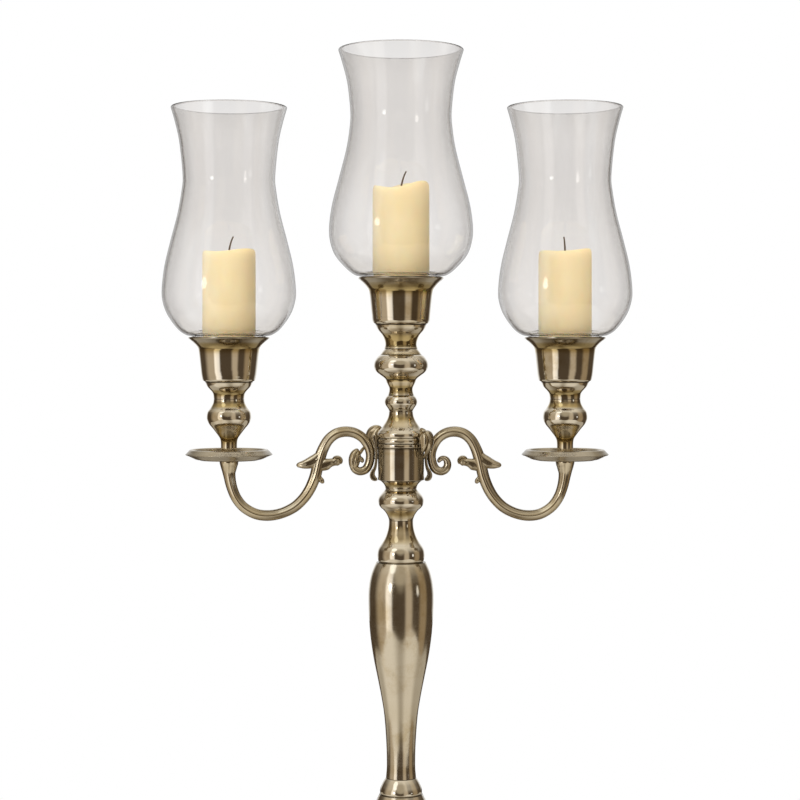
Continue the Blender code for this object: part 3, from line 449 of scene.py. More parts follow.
def hollows_along(outline):
    """Each point's share of grime, from fine hollows and the ends, and of shelter, from broad hollows."""
    places = [0.0]
    for start, end in zip(outline, outline[1:]):
        places.append(places[-1] + (end - start).length)

    def point_at(place):
        for i in range(1, len(places)):
            if place <= places[i] and places[i] > places[i - 1]:
                share = (place - places[i - 1]) / (places[i] - places[i - 1])
                return outline[i - 1].lerp(outline[i], max(share, 0.0))
        return outline[-1]

    def hollow_at(point, place, reach):
        before = point_at(max(place - reach, 0.0))
        after = point_at(min(place + reach, places[-1]))
        run = (after - before).normalized()
        return ((before + after) / 2 - point).dot(Vector((run.y, -run.x)))

    values = []
    for point, place in zip(outline, places):
        end = END_GRIME - min(place, places[-1] - place) / END_REACH
        patina_and_painted_light = max(hollow_at(point, place, GRIME_REACH) / GRIME_DEPTH, end, 0.0)
        shelter = max(hollow_at(point, place, SHELTER_REACH) / SHELTER_DEPTH, 0.0)
        values.append((min(patina_and_painted_light, 1.0), min(shelter, 1.0)))
    return values


def ring_faces(rows, segments, closed=True):
    """The faces between rows of points; a closed tube has its last row joined to its first."""
    faces = []
    for k in range(rows if closed else rows - 1):
        lower = k * segments
        upper = (k + 1) % rows * segments
        for i in range(segments):
            j = (i + 1) % segments
            faces.append((lower + i, lower + j, upper + j, upper + i))
    return faces


def lathed(outline, inside, outline_marks, x, base):
    """The points, faces and marks of a section turned round a vertical axis at x and closed into a ring."""
    section = [*outline, *[Vector(point) for point in inside]]
    points, marks = [], []
    for row, mark in zip(section, [*outline_marks, *[BORE_MARKS] * len(inside)]):
        for i in range(TURNED_SEGMENTS):
            angle = 2 * math.pi * i / TURNED_SEGMENTS
            points.append((x + row.x * math.cos(angle), row.x * math.sin(angle), base + row.y))
            marks.append(mark)
    return points, ring_faces(len(section), TURNED_SEGMENTS), marks


def add_object(name, data):
    """A new object in the scene."""
    thing = bpy.data.objects.new(name, data)
    bpy.context.scene.collection.objects.link(thing)
    return thing


def add_piece(name, shapes, body, material, nodes, sharp=TURNED_SHARPNESS):
    """Makes one object of one or more shapes, hangs it under its body, and hides the CAD nodes in its place.
    """
    points, faces, marks = [], [], []
    for shape_points, shape_faces, shape_marks in shapes:
        start = len(points)
        points += shape_points
        faces += [tuple(start + index for index in face) for face in shape_faces]
        marks += shape_marks
    mesh = bpy.data.meshes.new(name)
    mesh.from_pydata([tuple(point) for point in points], [], faces)
    for attribute, values in zip(("patina_and_painted_light", "shelter"), zip(*marks)):
        mesh.attributes.new(attribute, "FLOAT", "POINT").data.foreach_set("value", values)
    mesh.update()
    mesh.shade_smooth()
    mesh.set_sharp_from_angle(angle=math.radians(sharp))
    mesh.materials.append(material)
    piece = add_object(name, mesh)
    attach(piece, body)
    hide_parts(*nodes)


def size_of(node):
    """The place on X, the bottom, the radius and the height of a turned CAD node."""
    low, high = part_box(node)
    return (low.x + high.x) / 2, low.z, (high.x - low.x) / 2, high.z - low.z


def seat(outline, bore):
    """The rows of a low step under a piece, which closes the joint to the piece below."""
    step = outline[0].x - SEAT_INSET
    return [(bore, -SEAT_DEPTH), (step, -SEAT_DEPTH), (step, 0.0)]


def paint_shade_on_sides(shape, x, radius, start, width, darkness):
    """Adds painted shade to a turned shape's left and right, from a share of its radius outwards."""
    points, _, marks = shape
    for i, point in enumerate(points):
        share = ramp(abs(point[0] - x) / radius, start, width)
        marks[i] = (max(marks[i][0], share * darkness), marks[i][1])


def turned(node, strokes, material, bore=ROD_HOLE, darkness=0.0):
    """A turned piece with a plain bore, with at least some darkness all over and painted shade at its left
    and right.
    """
    x, base, radius, height = size_of(node)
    outline = outline_of(strokes, radius, height)
    inside = [(bore, height), *seat(outline, bore)]
    marks = [(max(patina_and_painted_light, darkness), shelter) for patina_and_painted_light, shelter in hollows_along(outline)]
    shape = lathed(outline, inside, marks, x, base)
    # Painted shade at the piece's left and right
    paint_shade_on_sides(shape, x, radius, *PAN_SIDES, darkness * PAN_SIDE_GAIN)
    add_piece(node + "_fine", [shape], "stand", material, (node,))


def foot(material):
    """The spun foot, hollow below like its CAD node."""
    x, base, radius, height = size_of("base_foot")
    outline = outline_of(BASE_FOOT, radius, height)
    ceiling = height - FOOT_CEILING
    inside = [(ROD_HOLE, height), (ROD_HOLE, ceiling), (FOOT_BOSS_RADIUS, ceiling)]
    inside += [(out, share * height) for out, share in FOOT_HOLLOW]
    shape = lathed(outline, inside, hollows_along(outline), x, base)
    add_piece("base_foot_fine", [shape], "stand", material, ("base_foot",))


def hub_pieces(material):
    """The hollow hub, and the cone on it with its spigot."""
    x, base, radius, height = size_of("hub")
    outline = outline_of(HUB, radius, height)
    inside = [(HUB_HOLLOW_RADIUS, height), (HUB_HOLLOW_RADIUS, HUB_FLOOR), (ROD_HOLE, HUB_FLOOR)]
    shape = lathed(outline, [*inside, *seat(outline, ROD_HOLE)], hollows_along(outline), x, base)
    # Painted shade at the hub's left and right
    paint_shade_on_sides(shape, x, radius, *HUB_SIDES, HUB_SIDE_SHADE)
    add_piece("hub_fine", [shape], "stand", material, ("hub",))

    x, base, radius, height = size_of("hub_cap")
    outline = outline_of(HUB_CAP, radius, height - SPIGOT_DEPTH)
    spigot = HUB_HOLLOW_RADIUS - SPIGOT_GAP
    inside = [(ROD_HOLE, height - SPIGOT_DEPTH), (ROD_HOLE, -SPIGOT_DEPTH)]
    inside += [(spigot, -SPIGOT_DEPTH), (spigot, 0.0)]
    shape = lathed(outline, inside, hollows_along(outline), x, base + SPIGOT_DEPTH)
    add_piece("hub_cap_fine", [shape], "stand", material, ("hub_cap",))


def cup(node, strokes, candle_node, bore, material):
    """A cup whose well holds the candle, and whose dished flange holds the shade."""
    x, base, radius, height = size_of(node)
    outline = outline_of(strokes, radius, height)
    body_radius, body_top = strokes[3][-1]
    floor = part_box(candle_node)[0].z - CUP_FLOOR_GAP - base
    well = size_of(candle_node)[2] + CANDLE_GAP
    pocket = bore * POCKET_TO_BORE
    inside = [
        (radius - CUP_LIP - CUP_DISH_WIDTH, height - CUP_DISH_WIDTH * CUP_DISH_SLOPE),
        (body_radius * radius - CUP_WALL, body_top * height), (well, floor), (pocket, floor),
        (pocket, floor - POCKET_DEPTH), (bore, floor - POCKET_DEPTH), *seat(outline, bore)]
    marks = []
    for row, (patina_and_painted_light, shelter) in zip(outline, hollows_along(outline)):
        # Painted shade under the flange
        under_flange = FLANGE_SHADE * ramp(row.y / height, body_top, FLANGE_FADE)
        marks.append((max(patina_and_painted_light, under_flange), shelter))
    add_piece(node + "_fine", [lathed(outline, inside, marks, x, base)], "stand", material, (node,))


def shade(side, strokes, material):
    """A blown shade with a fire-polished rim, standing in the dish of its cup."""
    node = side + "_shade"
    x, base, belly, height = size_of(node)
    foot_radius = size_of(side + "_cup")[2] - SHADE_LIP_INSET
    drop = (SHADE_LIP_INSET - CUP_LIP) * CUP_DISH_SLOPE - SHADE_DISH_GAP
    outside = [(foot_radius, 0.0), (foot_radius, drop + SHADE_LIP_RISE)]
    outside += [(foot_radius + share * (belly - foot_radius), level * height) for share, level in strokes]
    curve = smooth(outside)
    half = GLASS_THICKNESS / 2
    middle = []
    for before, point, after in zip([curve[0], *curve], curve, [*curve[1:], curve[-1]]):
        run = (after - before).normalized()
        middle.append((point + Vector((-run.y, run.x)) * half, Vector((run.y, -run.x)) * half))
    section = [spot + out for spot, out in middle]
    spot, out = middle[-1]
    up = Vector((-out.y, out.x))
    rim = spot - up.normalized() * half
    section[-1] = rim + out
    for i in range(1, RIM_STEPS):
        turn = math.pi * i / RIM_STEPS
        section.append(rim + out * math.cos(turn) + up * math.sin(turn))
    section.append(rim - out)
    section += [spot - out for spot, out in middle[-2::-1]]
    top = max(row.y for row in section)
    widest = max(row.x for row in section)
    section = [Vector((row.x * belly / widest, row.y * height / top)) for row in section]

    outline_marks = []
    for i, row in enumerate(section):
        width = max((row.x - foot_radius) / (belly - foot_radius), 0.0)
        lip = ramp(row.y / height, GLASS_LIP_START, 1 - GLASS_LIP_START)
        place = GLASS_FOOT - GLASS_FOOT * width ** 2 * (1 - lip) + GLASS_LIP_RISE * lip
        outline_marks.append((place if i < len(middle) else GLASS_INSIDE, 0.0))
    points, faces, marks = lathed(section, [], outline_marks, x, base)
    # Painted shade on the back half of the rim
    for i in range(len(middle) * TURNED_SEGMENTS, (len(middle) + RIM_STEPS - 2) * TURNED_SEGMENTS):
        back = max(points[i][1] / section[len(middle)].x, 0.0)
        marks[i] = (GLASS_RIM_MARK + (1 - GLASS_RIM_MARK) * back, 0.0)
    add_piece(node + "_fine", [(points, faces, marks)], node, material, (node,), GLASS_SHARPNESS)


def candle(side, wax, cotton):
    """A pillar candle with an uneven melted rim and a pool, and its bent wick."""
    node = side + "_candle"
    x, base, radius, height = size_of(node)
    waves, crest = CANDLE_MELT[side]
    phase = x * 40 + 0.6
    points, marks = [], []
    for share, level, melt in CANDLE_SECTION:
        for i in range(TURNED_SEGMENTS):
            angle = 2 * math.pi * i / TURNED_SEGMENTS
            wave = 0.5 - 0.30 * math.cos(angle - 0.5) - 0.20 * math.cos(3 * angle + 1.6 + phase)
            sag = (waves * wave - crest) * melt
            out = radius * share * (1 - 0.004 * melt * math.sin(5 * angle + phase))
            points.append((x + out * math.cos(angle), out * math.sin(angle), base + level * height - sag))
            # A painted glow on the melted rim, and painted shade on the side away from the key lamp
            painted_glow = melt * (0.55 + 0.45 * math.cos(angle + 0.5))
            painted_shade = 0.5 + 0.5 * math.cos(angle + 0.3)
            marks.append((painted_glow, painted_shade))
    shape = points, ring_faces(len(CANDLE_SECTION), TURNED_SEGMENTS), marks
    add_piece(node + "_fine", [shape], node, wax, (node,), WAX_SHARPNESS)

    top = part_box(side + "_wick")[1].z
    lean = WICK_LEAN[side]
    pool = base + height * POOL_LEVEL
    rise = top - WICK_TIP - pool
    spine = [(0.0, pool - WICK_ROOT, WICK_WIDTH, WICK_WIDTH)]
    for out, up in WICK_BEND:
        width = WICK_WIDTH - WICK_TAPER * up
        spine.append((lean * out, pool + rise * up, width, width))
    spine.append((lean * WICK_TIP_LEAN, top, WICK_TIP, WICK_TIP))
    shape = swept(spine, plain_section, WICK_SIDES, WICK_STEPS, 0.0, (x, 0.0, 0.0))
    add_piece(side + "_wick_fine", [shape], node, cotton, (side + "_wick",))


def plain_section(along, u, h):
    """An oval section, as the others start out: places in half widths and half depths, then the first mark,
    for patina and painted shade.
    """
    return u, h, 0.0


def moulded_section(along, u, h):
    """An arm's section: a broad crest with a soft groove beside it, front and back, and a round end."""
    crest = CREST_PLACE + sum(shift * ramp(along, start, length) for start, length, shift in CREST_MOVES)
    ridge = math.exp(-((u - crest) / CREST_WIDTH) ** 2)
    groove = math.exp(-((u - crest - GROOVE_OFFSET) / GROOVE_WIDTH) ** 2)
    round_end = ramp(along, *MOULDING_END)
    moulded = 1 - round_end
    level = MOULDING_LEVEL + (1 - MOULDING_LEVEL) * round_end
    relief = (CREST_HEIGHT * ridge - GROOVE_DEPTH * groove) * moulded
    # Painted shade away from the crest and towards the edges, with patina in the groove
    shade_and_patina = max(MOULDING_SHADE * (1 - ridge), GROOVE_GRIME * groove) * moulded
    return u, h * (level + relief), max(shade_and_patina, ARM_EDGE_SHADE * abs(u) ** 5)


def leaf_section(along, u, h):
    """A leaf's section: a vein down the middle, with ribs on each side of it."""
    vein = math.exp(-(u / VEIN_WIDTH) ** 2)
    ribs = 0.5 - 0.5 * math.cos(4 * math.pi * u)
    # Patina in the vein and between the ribs, with painted shade towards the edges
    patina_and_painted_light = max(VEIN_GRIME * vein, RIB_GRIME * (1 - ribs), LEAF_EDGE_SHADE * u ** 6)
    return u, h * (LEAF_LEVEL - VEIN_DEPTH * vein + RIB_HEIGHT * ribs), patina_and_painted_light


def strap_section(along, u, h):
    """A flat strap with rounded edges."""
    wide = math.copysign(abs(u) ** STRAP_SQUARENESS, u)
    deep = math.copysign(abs(h) ** STRAP_SQUARENESS, h)
    return wide, deep, STRAP_DARKNESS


def swept(points, section, sides, steps, turn, place):
    """Sweeps a section along a smooth spine in a vertical plane that is turned about the Z axis.

    Each point holds a distance out, a height, and the section's width in the plane and depth across it.
    """
    spine = smooth(points, steps)
    turned_plane = Matrix.Rotation(turn, 3, "Z")
    origin = Vector(place)
    last = len(spine) - 1
    vertices, marks = [], []
    for i, row in enumerate(spine):
        along = (spine[min(i + 1, last)].xy - spine[max(i - 1, 0)].xy).normalized()
        across = Vector((-along.y, 0.0, along.x))
        for k in range(sides):
            angle = 2 * math.pi * k / sides
            u, h, patina_and_painted_light = section(i / last, math.cos(angle), math.sin(angle))
            point = Vector((row.x, 0.0, row.y)) + across * (row.z / 2 * u)
            point.y = row.w / 2 * h
            vertices.append(origin + turned_plane @ point)
            marks.append((patina_and_painted_light, CAST_SHELTER))
    faces = ring_faces(len(spine), sides, closed=False)
    faces.append(tuple(range(sides))[::-1])
    faces.append(tuple(last * sides + k for k in range(sides)))
    return vertices, faces, marks


def arm(side, turn, middle, material):
    """The scrolled arm with its leaves; the left one's curl ends in a leaf too."""
    reach = abs(size_of(side + "_cup")[0])
    widening = (reach - SCROLL_ROOT) / SPINE_REACH
    place = (0.0, 0.0, middle)

    def form(points, section, sides, steps):
        rows = [(SCROLL_ROOT + out * widening, up, width, depth) for out, up, width, depth in points]
        return swept(rows, section, sides, steps, turn, place)

    leaves = [INNER_LEAF, INNER_KNOB, OUTER_LEAF, SPUR]
    if side == "left":
        leaves += [CURL_BULB, CURL_LEAF]
    shapes = [form(ARM_SPINE, moulded_section, ARM_SIDES, ARM_STEPS)]
    shapes += [form(points, leaf_section, LEAF_SIDES, CURVE_STEPS) for points in leaves]
    add_piece(side + "_arm_fine", shapes, "stand", material, (side + "_arm",), CAST_SHARPNESS)


def arm_fixing(side, turn, middle, material):
    """The cradle between hub and arm, and the curled leaf beside it with its fine shell."""
    place = (0.0, 0.0, middle)
    strap = [(HUB_RIM_RADIUS + out, up, thickness * CRADLE_FULLNESS, CRADLE_WIDTH)
             for out, up, thickness in CRADLE]
    shape = swept(strap, strap_section, LEAF_SIDES, CURVE_STEPS, turn, place)
    node = side + "_cradle"
    add_piece(node + "_fine", [shape], "stand", material, (node,), CAST_SHARPNESS)
    size = SHELL_SIZE[side]
    blade = [(HUB_RIM_RADIUS + out, up, thickness, width) for out, up, thickness, width in HUB_LEAF]
    shell = [(HUB_RIM_RADIUS + out * size, up, thickness * size, width * size)
             for out, up, thickness, width in HUB_SHELL]
    leaf_turn = turn + HUB_LEAF_AZIMUTH
    shapes = [swept(rows, leaf_section, LEAF_SIDES, CURVE_STEPS, leaf_turn, place) for rows in (blade, shell)]
    node = side + "_hub_leaf"
    add_piece(node + "_fine", shapes, "stand", material, (node,), CAST_SHARPNESS)


class Nodes:
    """A short way to write a material's or the world's nodes."""

    def __init__(self, tree):
        self.tree = tree
        tree.nodes.clear()

    def add(self, kind, **settings):
        node = self.tree.nodes.new(kind)
        for name, value in settings.items():
            setattr(node, name, value)
        return node

    def link(self, source, target):
        self.tree.links.new(source, target)

    def mark(self, name):
        """One of the two marks that every point carries."""
        return self.add("ShaderNodeAttribute", attribute_name=name).outputs["Fac"]

    def put(self, socket, value):
        """Links a socket to another one, or gives it a value."""
        if isinstance(value, bpy.types.NodeSocket):
            self.link(value, socket)
        else:
            socket.default_value = value

    def math(self, operation, first, second=0.0, clamp=False):
        node = self.add("ShaderNodeMath", operation=operation, use_clamp=clamp)
        self.put(node.inputs[0], first)
        self.put(node.inputs[1], second)
        return node.outputs[0]

    def mix(self, share, first, second, blend="MIX"):
        node = self.add("ShaderNodeMix", data_type="RGBA", blend_type=blend)
        self.put(node.inputs[0], share)
        for socket, value in ((node.inputs[6], first), (node.inputs[7], second)):
            self.put(socket, (*value, 1.0) if isinstance(value, tuple) and len(value) == 3 else value)
        return node.outputs[2]

    def between(self, value, low, high, out_low=0.0, out_high=1.0, soft=True):
        """Maps a value between two limits onto two others, and stays level beyond them."""
        node = self.add("ShaderNodeMapRange", interpolation_type="SMOOTHSTEP" if soft else "LINEAR")
        self.put(node.inputs[0], value)
        for socket, number in zip(node.inputs[1:5], (low, high, out_low, out_high)):
            socket.default_value = number
        return node.outputs[0]

    def noise(self, scale, detail=3.0, stretch=(1.0, 1.0, 1.0), roughness=0.5):
        """A noise in the object's own coordinates, stretched along the axes with small factors."""
        where = self.add("ShaderNodeTexCoord").outputs["Object"]
        mapping = self.add("ShaderNodeMapping")
        self.link(where, mapping.inputs[0])
        mapping.inputs["Scale"].default_value = stretch
        node = self.add("ShaderNodeTexNoise")
        self.link(mapping.outputs[0], node.inputs["Vector"])
        node.inputs["Scale"].default_value = scale
        node.inputs["Detail"].default_value = detail
        node.inputs["Roughness"].default_value = roughness
        return node.outputs[0]

    def transparent(self, colour):
        node = self.add("ShaderNodeBsdfTransparent")
        node.inputs[0].default_value = (*colour, 1.0)
        return node.outputs[0]

    def mix_shaders(self, share, first, second):
        node = self.add("ShaderNodeMixShader")
        for socket, source in zip(node.inputs, (share, first, second)):
            self.link(source, socket)
        return node.outputs[0]

    def bump(self, height, distance, strength):
        node = self.add("ShaderNodeBump")
        node.inputs["Strength"].default_value = strength
        node.inputs["Distance"].default_value = distance
        self.link(height, node.inputs["Height"])
        return node.outputs[0]


def new_material(name):
    """A material with nothing but a Principled shader and its output."""
    material = bpy.data.materials.new(name)
    material.use_nodes = True
    nodes = Nodes(material.node_tree)
    shader = nodes.add("ShaderNodeBsdfPrincipled")
    output = nodes.add("ShaderNodeOutputMaterial")
    nodes.link(shader.outputs[0], output.inputs[0])
    return material, nodes, shader, output


def nickel_material(name, turned_marks=True, wear=0.0, haze=0.0):
    """Polished nickel, antiqued: warm tarnish in clouds and runs, dark patina in the hollows along with
    painted shade, fine marks.
    """
    material, nodes, shader, _ = new_material(name)
    clouds = nodes.noise(34.0, 5.0, roughness=0.62)
    specks = nodes.noise(420.0, 3.0)
    marks = nodes.noise(70.0, 4.0, (1.0, 1.0, 26.0) if turned_marks else (1.0, 1.0, 1.0), 0.7)
    tarnished = nodes.between(clouds, 0.46, 0.70, 0.05 + wear, 0.75)
    colour = nodes.mix(tarnished, NICKEL, TARNISH)
    colour = nodes.mix(nodes.math("MULTIPLY", nodes.mark("shelter"), 0.85), colour, GOLDEN_TARNISH)
    # Patina in the hollows and painted shade, as the first mark carries them, with tarnish runs
    patina_and_shade = nodes.math("MULTIPLY", nodes.mark("patina_and_painted_light"), nodes.between(specks, 0.25, 0.60, 0.86, 1.0))
    if turned_marks:
        drips = nodes.noise(150.0, 3.0, (1.0, 1.0, 0.10), 0.6)
        runs = nodes.between(drips, 0.60, 0.78, 0.0, 0.34 + wear * 1.8)
        patina_and_shade = nodes.math("ADD", patina_and_shade, nodes.math("MULTIPLY", runs, tarnished), clamp=True)
    colour = nodes.mix(patina_and_shade, colour, PATINA)
    nodes.link(colour, shader.inputs["Base Color"])
    shader.inputs["Metallic"].default_value = 1.0
    gloss = nodes.between(marks, 0.30, 0.75, 0.035 + haze, 0.085 + haze * 2, soft=False)
    gloss = nodes.math("ADD", gloss, nodes.math("MULTIPLY", patina_and_shade, 0.20))
    nodes.link(gloss, shader.inputs["Roughness"])
    waves = nodes.noise(60.0, 0.0)
    relief = nodes.math("ADD", nodes.math("MULTIPLY", marks, 0.02), waves)
    nodes.link(nodes.bump(relief, 0.00030, 0.35), shader.inputs["Normal"])
    return material


def glass_material():
    """Clear blown glass: palest at the belly, darker at the lip, with painted shade on the back of the rim
    and where it is seen edge on.
    """
    material, nodes, shader, output = new_material("blown_glass")
    wall = nodes.mark("patina_and_painted_light")
    tint = nodes.mix(nodes.between(wall, 0.0, 0.5, soft=False), GLASS_THIN, GLASS_TINT)
    tint = nodes.mix(nodes.between(wall, 0.5, 0.85, soft=False), tint, GLASS_LIP)
    # Painted shade on the back half of the rim
    tint = nodes.mix(nodes.between(wall, 0.86, 1.0, soft=False), tint, GLASS_BACK_RIM_SHADE)
    streaks = nodes.noise(38.0, 2.0, (1.0, 1.0, 0.06), 0.55)
    tint = nodes.mix(nodes.between(streaks, 0.50, 0.72, 0.0, 0.75), tint, GLASS_STREAK)
    nodes.link(tint, shader.inputs["Base Color"])
    shader.inputs["Transmission Weight"].default_value = 1.0
    shader.inputs["IOR"].default_value = 1.47
    shader.inputs["Roughness"].default_value = 0.0
    waves = nodes.noise(9.0, 1.0, (1.0, 1.0, 0.5))
    nodes.link(nodes.bump(waves, 0.0002, 0.15), shader.inputs["Normal"])
    # Painted shade where the glass is seen edge on
    grazing = nodes.add("ShaderNodeLayerWeight").outputs["Facing"]
    outside = nodes.between(wall, -0.6, -0.2)
    edge = nodes.math("MULTIPLY", nodes.between(grazing, 0.62, 0.90, 0.0, 0.9), outside)
    edged = nodes.mix_shaders(edge, shader.outputs[0], nodes.transparent(GLASS_EDGE_SHADE))
    shadow = nodes.add("ShaderNodeLightPath").outputs["Is Shadow Ray"]
    nodes.link(nodes.mix_shaders(shadow, edged, nodes.transparent(GLASS_SHADOW)), output.inputs[0])
    return material


def wax_material():
    """Ivory wax with a soft sheen, cloudy inside, with painted shade on the side away from the key lamp and a
    painted glow at the melted rim.
    """
    material, nodes, shader, _ = new_material("ivory_wax")
    clouds = nodes.noise(60.0, 4.0, (1.0, 1.0, 0.6))
    # Painted shade on the side away from the key lamp
    colour = nodes.mix(nodes.mark("shelter"), IVORY, IVORY_SHADED)
    colour = nodes.mix(nodes.between(clouds, 0.30, 0.72, 0.0, 0.45), colour, IVORY_DEEP)
    nodes.link(colour, shader.inputs["Base Color"])
    # A painted glow at the melted rim
    shader.inputs["Emission Color"].default_value = (*WAX_PAINTED_GLOW, 1.0)
    nodes.link(nodes.math("MULTIPLY", nodes.mark("patina_and_painted_light"), 0.30), shader.inputs["Emission Strength"])
    shader.inputs["Subsurface Weight"].default_value = 0.35
    shader.inputs["Subsurface Radius"].default_value = (0.010, 0.006, 0.003)
    shader.inputs["Subsurface Scale"].default_value = 0.6
    fine = nodes.noise(900.0, 2.0)
    nodes.link(nodes.between(fine, 0.2, 0.8, 0.38, 0.52), shader.inputs["Roughness"])
    nodes.link(nodes.bump(clouds, 0.0004, 0.4), shader.inputs["Normal"])
    return material


def rough_material(name, colour, other, scale, roughness, relief, metallic=0.0):
    """Felt, iron, steel or cotton: two tones in a noise with a bump of its own."""
    material, nodes, shader, _ = new_material(name)
    grain = nodes.noise(scale, 4.0, roughness=0.65)
    nodes.link(nodes.mix(nodes.between(grain, 0.35, 0.68), colour, other), shader.inputs["Base Color"])
    shader.inputs["Metallic"].default_value = metallic
    low, high = roughness
    nodes.link(nodes.between(grain, 0.3, 0.7, low, high, soft=False), shader.inputs["Roughness"])
    nodes.link(nodes.bump(grain, relief, 0.7), shader.inputs["Normal"])
    return material


def add_glows(nodes, colour, bearing, glows):
    """Adds soft upright bands of light to a colour, each round its own bearing."""
    for centre, half, edge, light in glows:
        away = nodes.math("ABSOLUTE", nodes.math("SUBTRACT", bearing, centre))
        share = nodes.between(away, half, half + edge, 1.0, 0.0)
        colour = nodes.mix(share, colour, light, "ADD")
    return colour


def bearing_of(nodes, vector):
    """The bearing of a direction or place in degrees, and its parts."""
    split = nodes.add("ShaderNodeSeparateXYZ")
    nodes.link(vector, split.inputs[0])
    towards = nodes.math("MULTIPLY", split.outputs["Y"], -1.0)
    return nodes.math("DEGREES", nodes.math("ARCTAN2", split.outputs["X"], towards)), split


def studio_colour(nodes, bearing):
    """The dark studio with its upright softboxes."""
    return add_glows(nodes, STUDIO_DARK, bearing, SOFTBOXES)


def seen_directly(nodes, rays):
    """Whether a ray comes from the camera, straight or through glass, with no mirror on its way."""
    mirrors = nodes.math("MINIMUM", rays.outputs["Glossy Depth"], 1.0)
    through = nodes.math("SUBTRACT", rays.outputs["Is Transmission Ray"], mirrors, clamp=True)
    return nodes.math("MAXIMUM", rays.outputs["Is Camera Ray"], through)


def add_floor():
    """A pale round floor that fades into the white backdrop at its edge.

    Mirrors see it as the studio's floor, with painted light: bright pools under the softboxes and a dim
    painted shadow close to the candelabra.
    """
    material, nodes, shader, output = new_material("studio_floor")
    shader.inputs["Roughness"].default_value = 0.9
    nodes.link(nodes.mix(nodes.noise(3.0, 3.0), FLOOR, FLOOR_DARK), shader.inputs["Base Color"])
    where = nodes.add("ShaderNodeTexCoord").outputs["Object"]
    length = nodes.add("ShaderNodeVectorMath", operation="LENGTH")
    nodes.link(where, length.inputs[0])
    distance = length.outputs["Value"]
    bearing, _ = bearing_of(nodes, where)

    # Painted shadow close to the candelabra and painted pools of light under the softboxes, for mirrors only
    near = add_glows(nodes, NEAR_FLOOR_SHADOW, bearing, NEAR_FLOOR_GLOWS)
    far = add_glows(nodes, MIRRORED_FLOOR, bearing, MIRRORED_FLOOR_GLOWS)
    seen = nodes.mix(nodes.between(distance, *MIRRORED_FLOOR_RISE), near, far)
    wave = nodes.math("COSINE", nodes.math("MULTIPLY", bearing, math.radians(FLOOR_WAVES)))
    waved = nodes.math("ADD", distance, nodes.math("MULTIPLY", wave, FLOOR_WAVE_DEPTH))
    seen = nodes.mix(nodes.between(waved, *MIRRORED_FLOOR_EDGE), seen, studio_colour(nodes, bearing))
    painted_glow = nodes.add("ShaderNodeEmission")
    nodes.link(seen, painted_glow.inputs[0])

    rays = nodes.add("ShaderNodeLightPath")
    direct = seen_directly(nodes, rays)
    by_mirror = nodes.math("SUBTRACT", rays.outputs["Is Glossy Ray"], direct, clamp=True)
    surface = nodes.mix_shaders(by_mirror, shader.outputs[0], painted_glow.outputs[0])
    fade = nodes.math("MULTIPLY", nodes.between(distance, *FLOOR_FADE), direct)
    nodes.link(nodes.mix_shaders(fade, surface, nodes.transparent(WHITE)), output.inputs[0])

    angles = [math.radians(degrees) for degrees in range(0, 360, 3)]
    rim = [(FLOOR_RADIUS * math.cos(angle), FLOOR_RADIUS * math.sin(angle), 0.0) for angle in angles]
    mesh = bpy.data.meshes.new("studio_floor")
    mesh.from_pydata(rim, [], [tuple(range(len(rim)))])
    mesh.materials.append(material)
    floor = add_object("studio_floor", mesh)


def add_world():
    """White behind everything, a plain level for surfaces, and a studio of softboxes for mirrors."""
    world = bpy.data.worlds.new("studio")
    world.use_nodes = True
    nodes = Nodes(world.node_tree)
    direction = nodes.add("ShaderNodeTexCoord").outputs["Generated"]
    bearing, split = bearing_of(nodes, direction)
    height = nodes.math("DEGREES", nodes.math("ARCSINE", split.outputs["Z"]))
    colour = nodes.mix(nodes.between(height, *CEILING_HEIGHTS), studio_colour(nodes, bearing), STUDIO_CEILING)
    behind = nodes.between(nodes.math("ABSOLUTE", bearing), *BACKDROP_EDGE)
    colour = nodes.mix(behind, colour, WHITE)
    for light_bearing, light_height, core, edge, light in ROUND_LIGHTS:
        across, up = math.radians(light_bearing), math.radians(light_height)
        aim = (math.cos(up) * math.sin(across), -math.cos(up) * math.cos(across), math.sin(up))
        facing = nodes.add("ShaderNodeVectorMath", operation="DOT_PRODUCT")
        nodes.link(direction, facing.inputs[0])
        facing.inputs[1].default_value = aim
        limits = [math.cos(math.radians(angle)) for angle in (edge, core)]
        colour = nodes.mix(nodes.between(facing.outputs["Value"], *limits), colour, light)

    rays = nodes.add("ShaderNodeLightPath")
    studio = nodes.math("MAXIMUM", rays.outputs["Is Glossy Ray"], rays.outputs["Is Transmission Ray"])
    lit = nodes.mix(studio, AMBIENT, colour)
    lit = nodes.mix(seen_directly(nodes, rays), lit, WHITE)
    background = nodes.add("ShaderNodeBackground")
    nodes.link(lit, background.inputs[0])
    output = nodes.add("ShaderNodeOutputWorld")
    nodes.link(background.outputs[0], output.inputs[0])
    bpy.context.scene.world = world


def add_lamp(name, place, size, power, colour):
    """A soft square lamp that points at the middle of the candelabra."""
    data = bpy.data.lights.new(name, "AREA")
    data.size = size
    data.energy = power
    data.color = colour
    lamp = add_object(name, data)
    lamp.location = place
    lamp.rotation_euler = (Vector(LAMP_AIM) - Vector(place)).to_track_quat("-Z", "Y").to_euler()
    lamp.visible_glossy = False
    lamp.visible_transmission = False
    lamp.visible_camera = False


def add_camera():
    """A level camera in front of the candelabra, with its picture shifted down."""
    data = bpy.data.cameras.new("camera")
    data.lens = CAMERA_LENS
    data.sensor_width = CAMERA_SENSOR
    data.shift_y = CAMERA_SHIFT
    camera = add_object("camera", data)
    camera.location = (CAMERA_OFFSET, -CAMERA_DISTANCE, CAMERA_HEIGHT)
    camera.rotation_euler = (math.pi / 2, 0.0, 0.0)
    bpy.context.scene.camera = camera


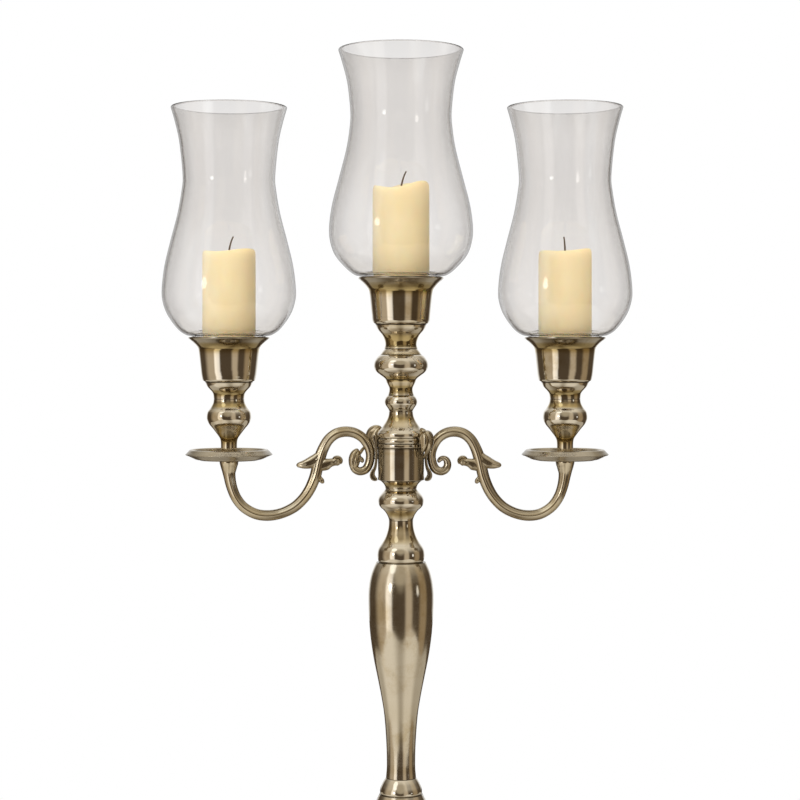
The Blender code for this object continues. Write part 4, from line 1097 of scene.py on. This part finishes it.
def finish_hidden(nodes, material):
    """Gives carried-over CAD nodes their finish."""
    for node in nodes:
        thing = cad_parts[node]
        thing.data.materials.clear()
        thing.data.materials.append(material)


turned_nickel = nickel_material("turned_nickel")
hazy_nickel = nickel_material("hazy_nickel", wear=0.12, haze=0.050)
cast_nickel = nickel_material("cast_nickel", turned_marks=False, wear=0.10, haze=0.055)
glass = glass_material()
wax = wax_material()
cotton = rough_material("charred_cotton", COTTON, COTTON_ASH, 1500.0, (0.80, 0.95), relief=0.0003)
felt = rough_material("green_felt", FELT, FELT_PALE, 2200.0, (0.90, 1.0), relief=0.0004)
iron = rough_material("cast_iron", IRON, IRON_RUST, 260.0, (0.55, 0.80), relief=0.0005, metallic=0.6)
steel = rough_material("brushed_steel", STEEL, STEEL_DARK, 480.0, (0.25, 0.42), relief=0.0001, metallic=1.0)

finish_hidden(["base_felt"], felt)
finish_hidden(["base_weight"], iron)
finish_hidden(["base_washer", "base_nut", "tie_rod", "cup_washer", "cup_nut"], steel)

foot(turned_nickel)
for node, strokes in (("lower_baluster", LOWER_BALUSTER), ("main_baluster", MAIN_BALUSTER)):
    turned(node, strokes, hazy_nickel)
for node, strokes in (("foot_bead", FOOT_BEAD), ("stem_bead", STEM_BEAD), ("bell_neck", BELL),
                      ("stem_knop", STEM_KNOP), ("neck_bead", NECK_BEAD), ("cup_knop", CUP_KNOP)):
    turned(node, strokes, turned_nickel)
hub_pieces(turned_nickel)
cup("centre_cup", CENTRE_CUP, "centre_candle", ROD_HOLE, turned_nickel)
shade("centre", CENTRE_SHADE, glass)
candle("centre", wax, cotton)

hub_low, hub_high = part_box("hub")
hub_middle = (hub_low.z + hub_high.z) / 2
for side, turn in SIDES.items():
    arm(side, turn, hub_middle, cast_nickel)
    arm_fixing(side, turn, hub_middle, cast_nickel)
    turned(side + "_drip_pan", DRIP_PAN, hazy_nickel, SCREW_HOLE, PAN_DARKNESS)
    turned(side + "_cup_stem", CUP_STEM, turned_nickel, SCREW_HOLE)
    cup(side + "_cup", SIDE_CUP, side + "_candle", SCREW_HOLE, turned_nickel)
    shade(side, SIDE_SHADE, glass)
    candle(side, wax, cotton)
    finish_hidden([side + "_arm_screw", side + "_cup_screw"], steel)

add_floor()
add_world()
for name, settings in LAMPS.items():
    add_lamp(name, *settings)
add_camera()
bpy.context.scene.view_settings.view_transform = "Standard"
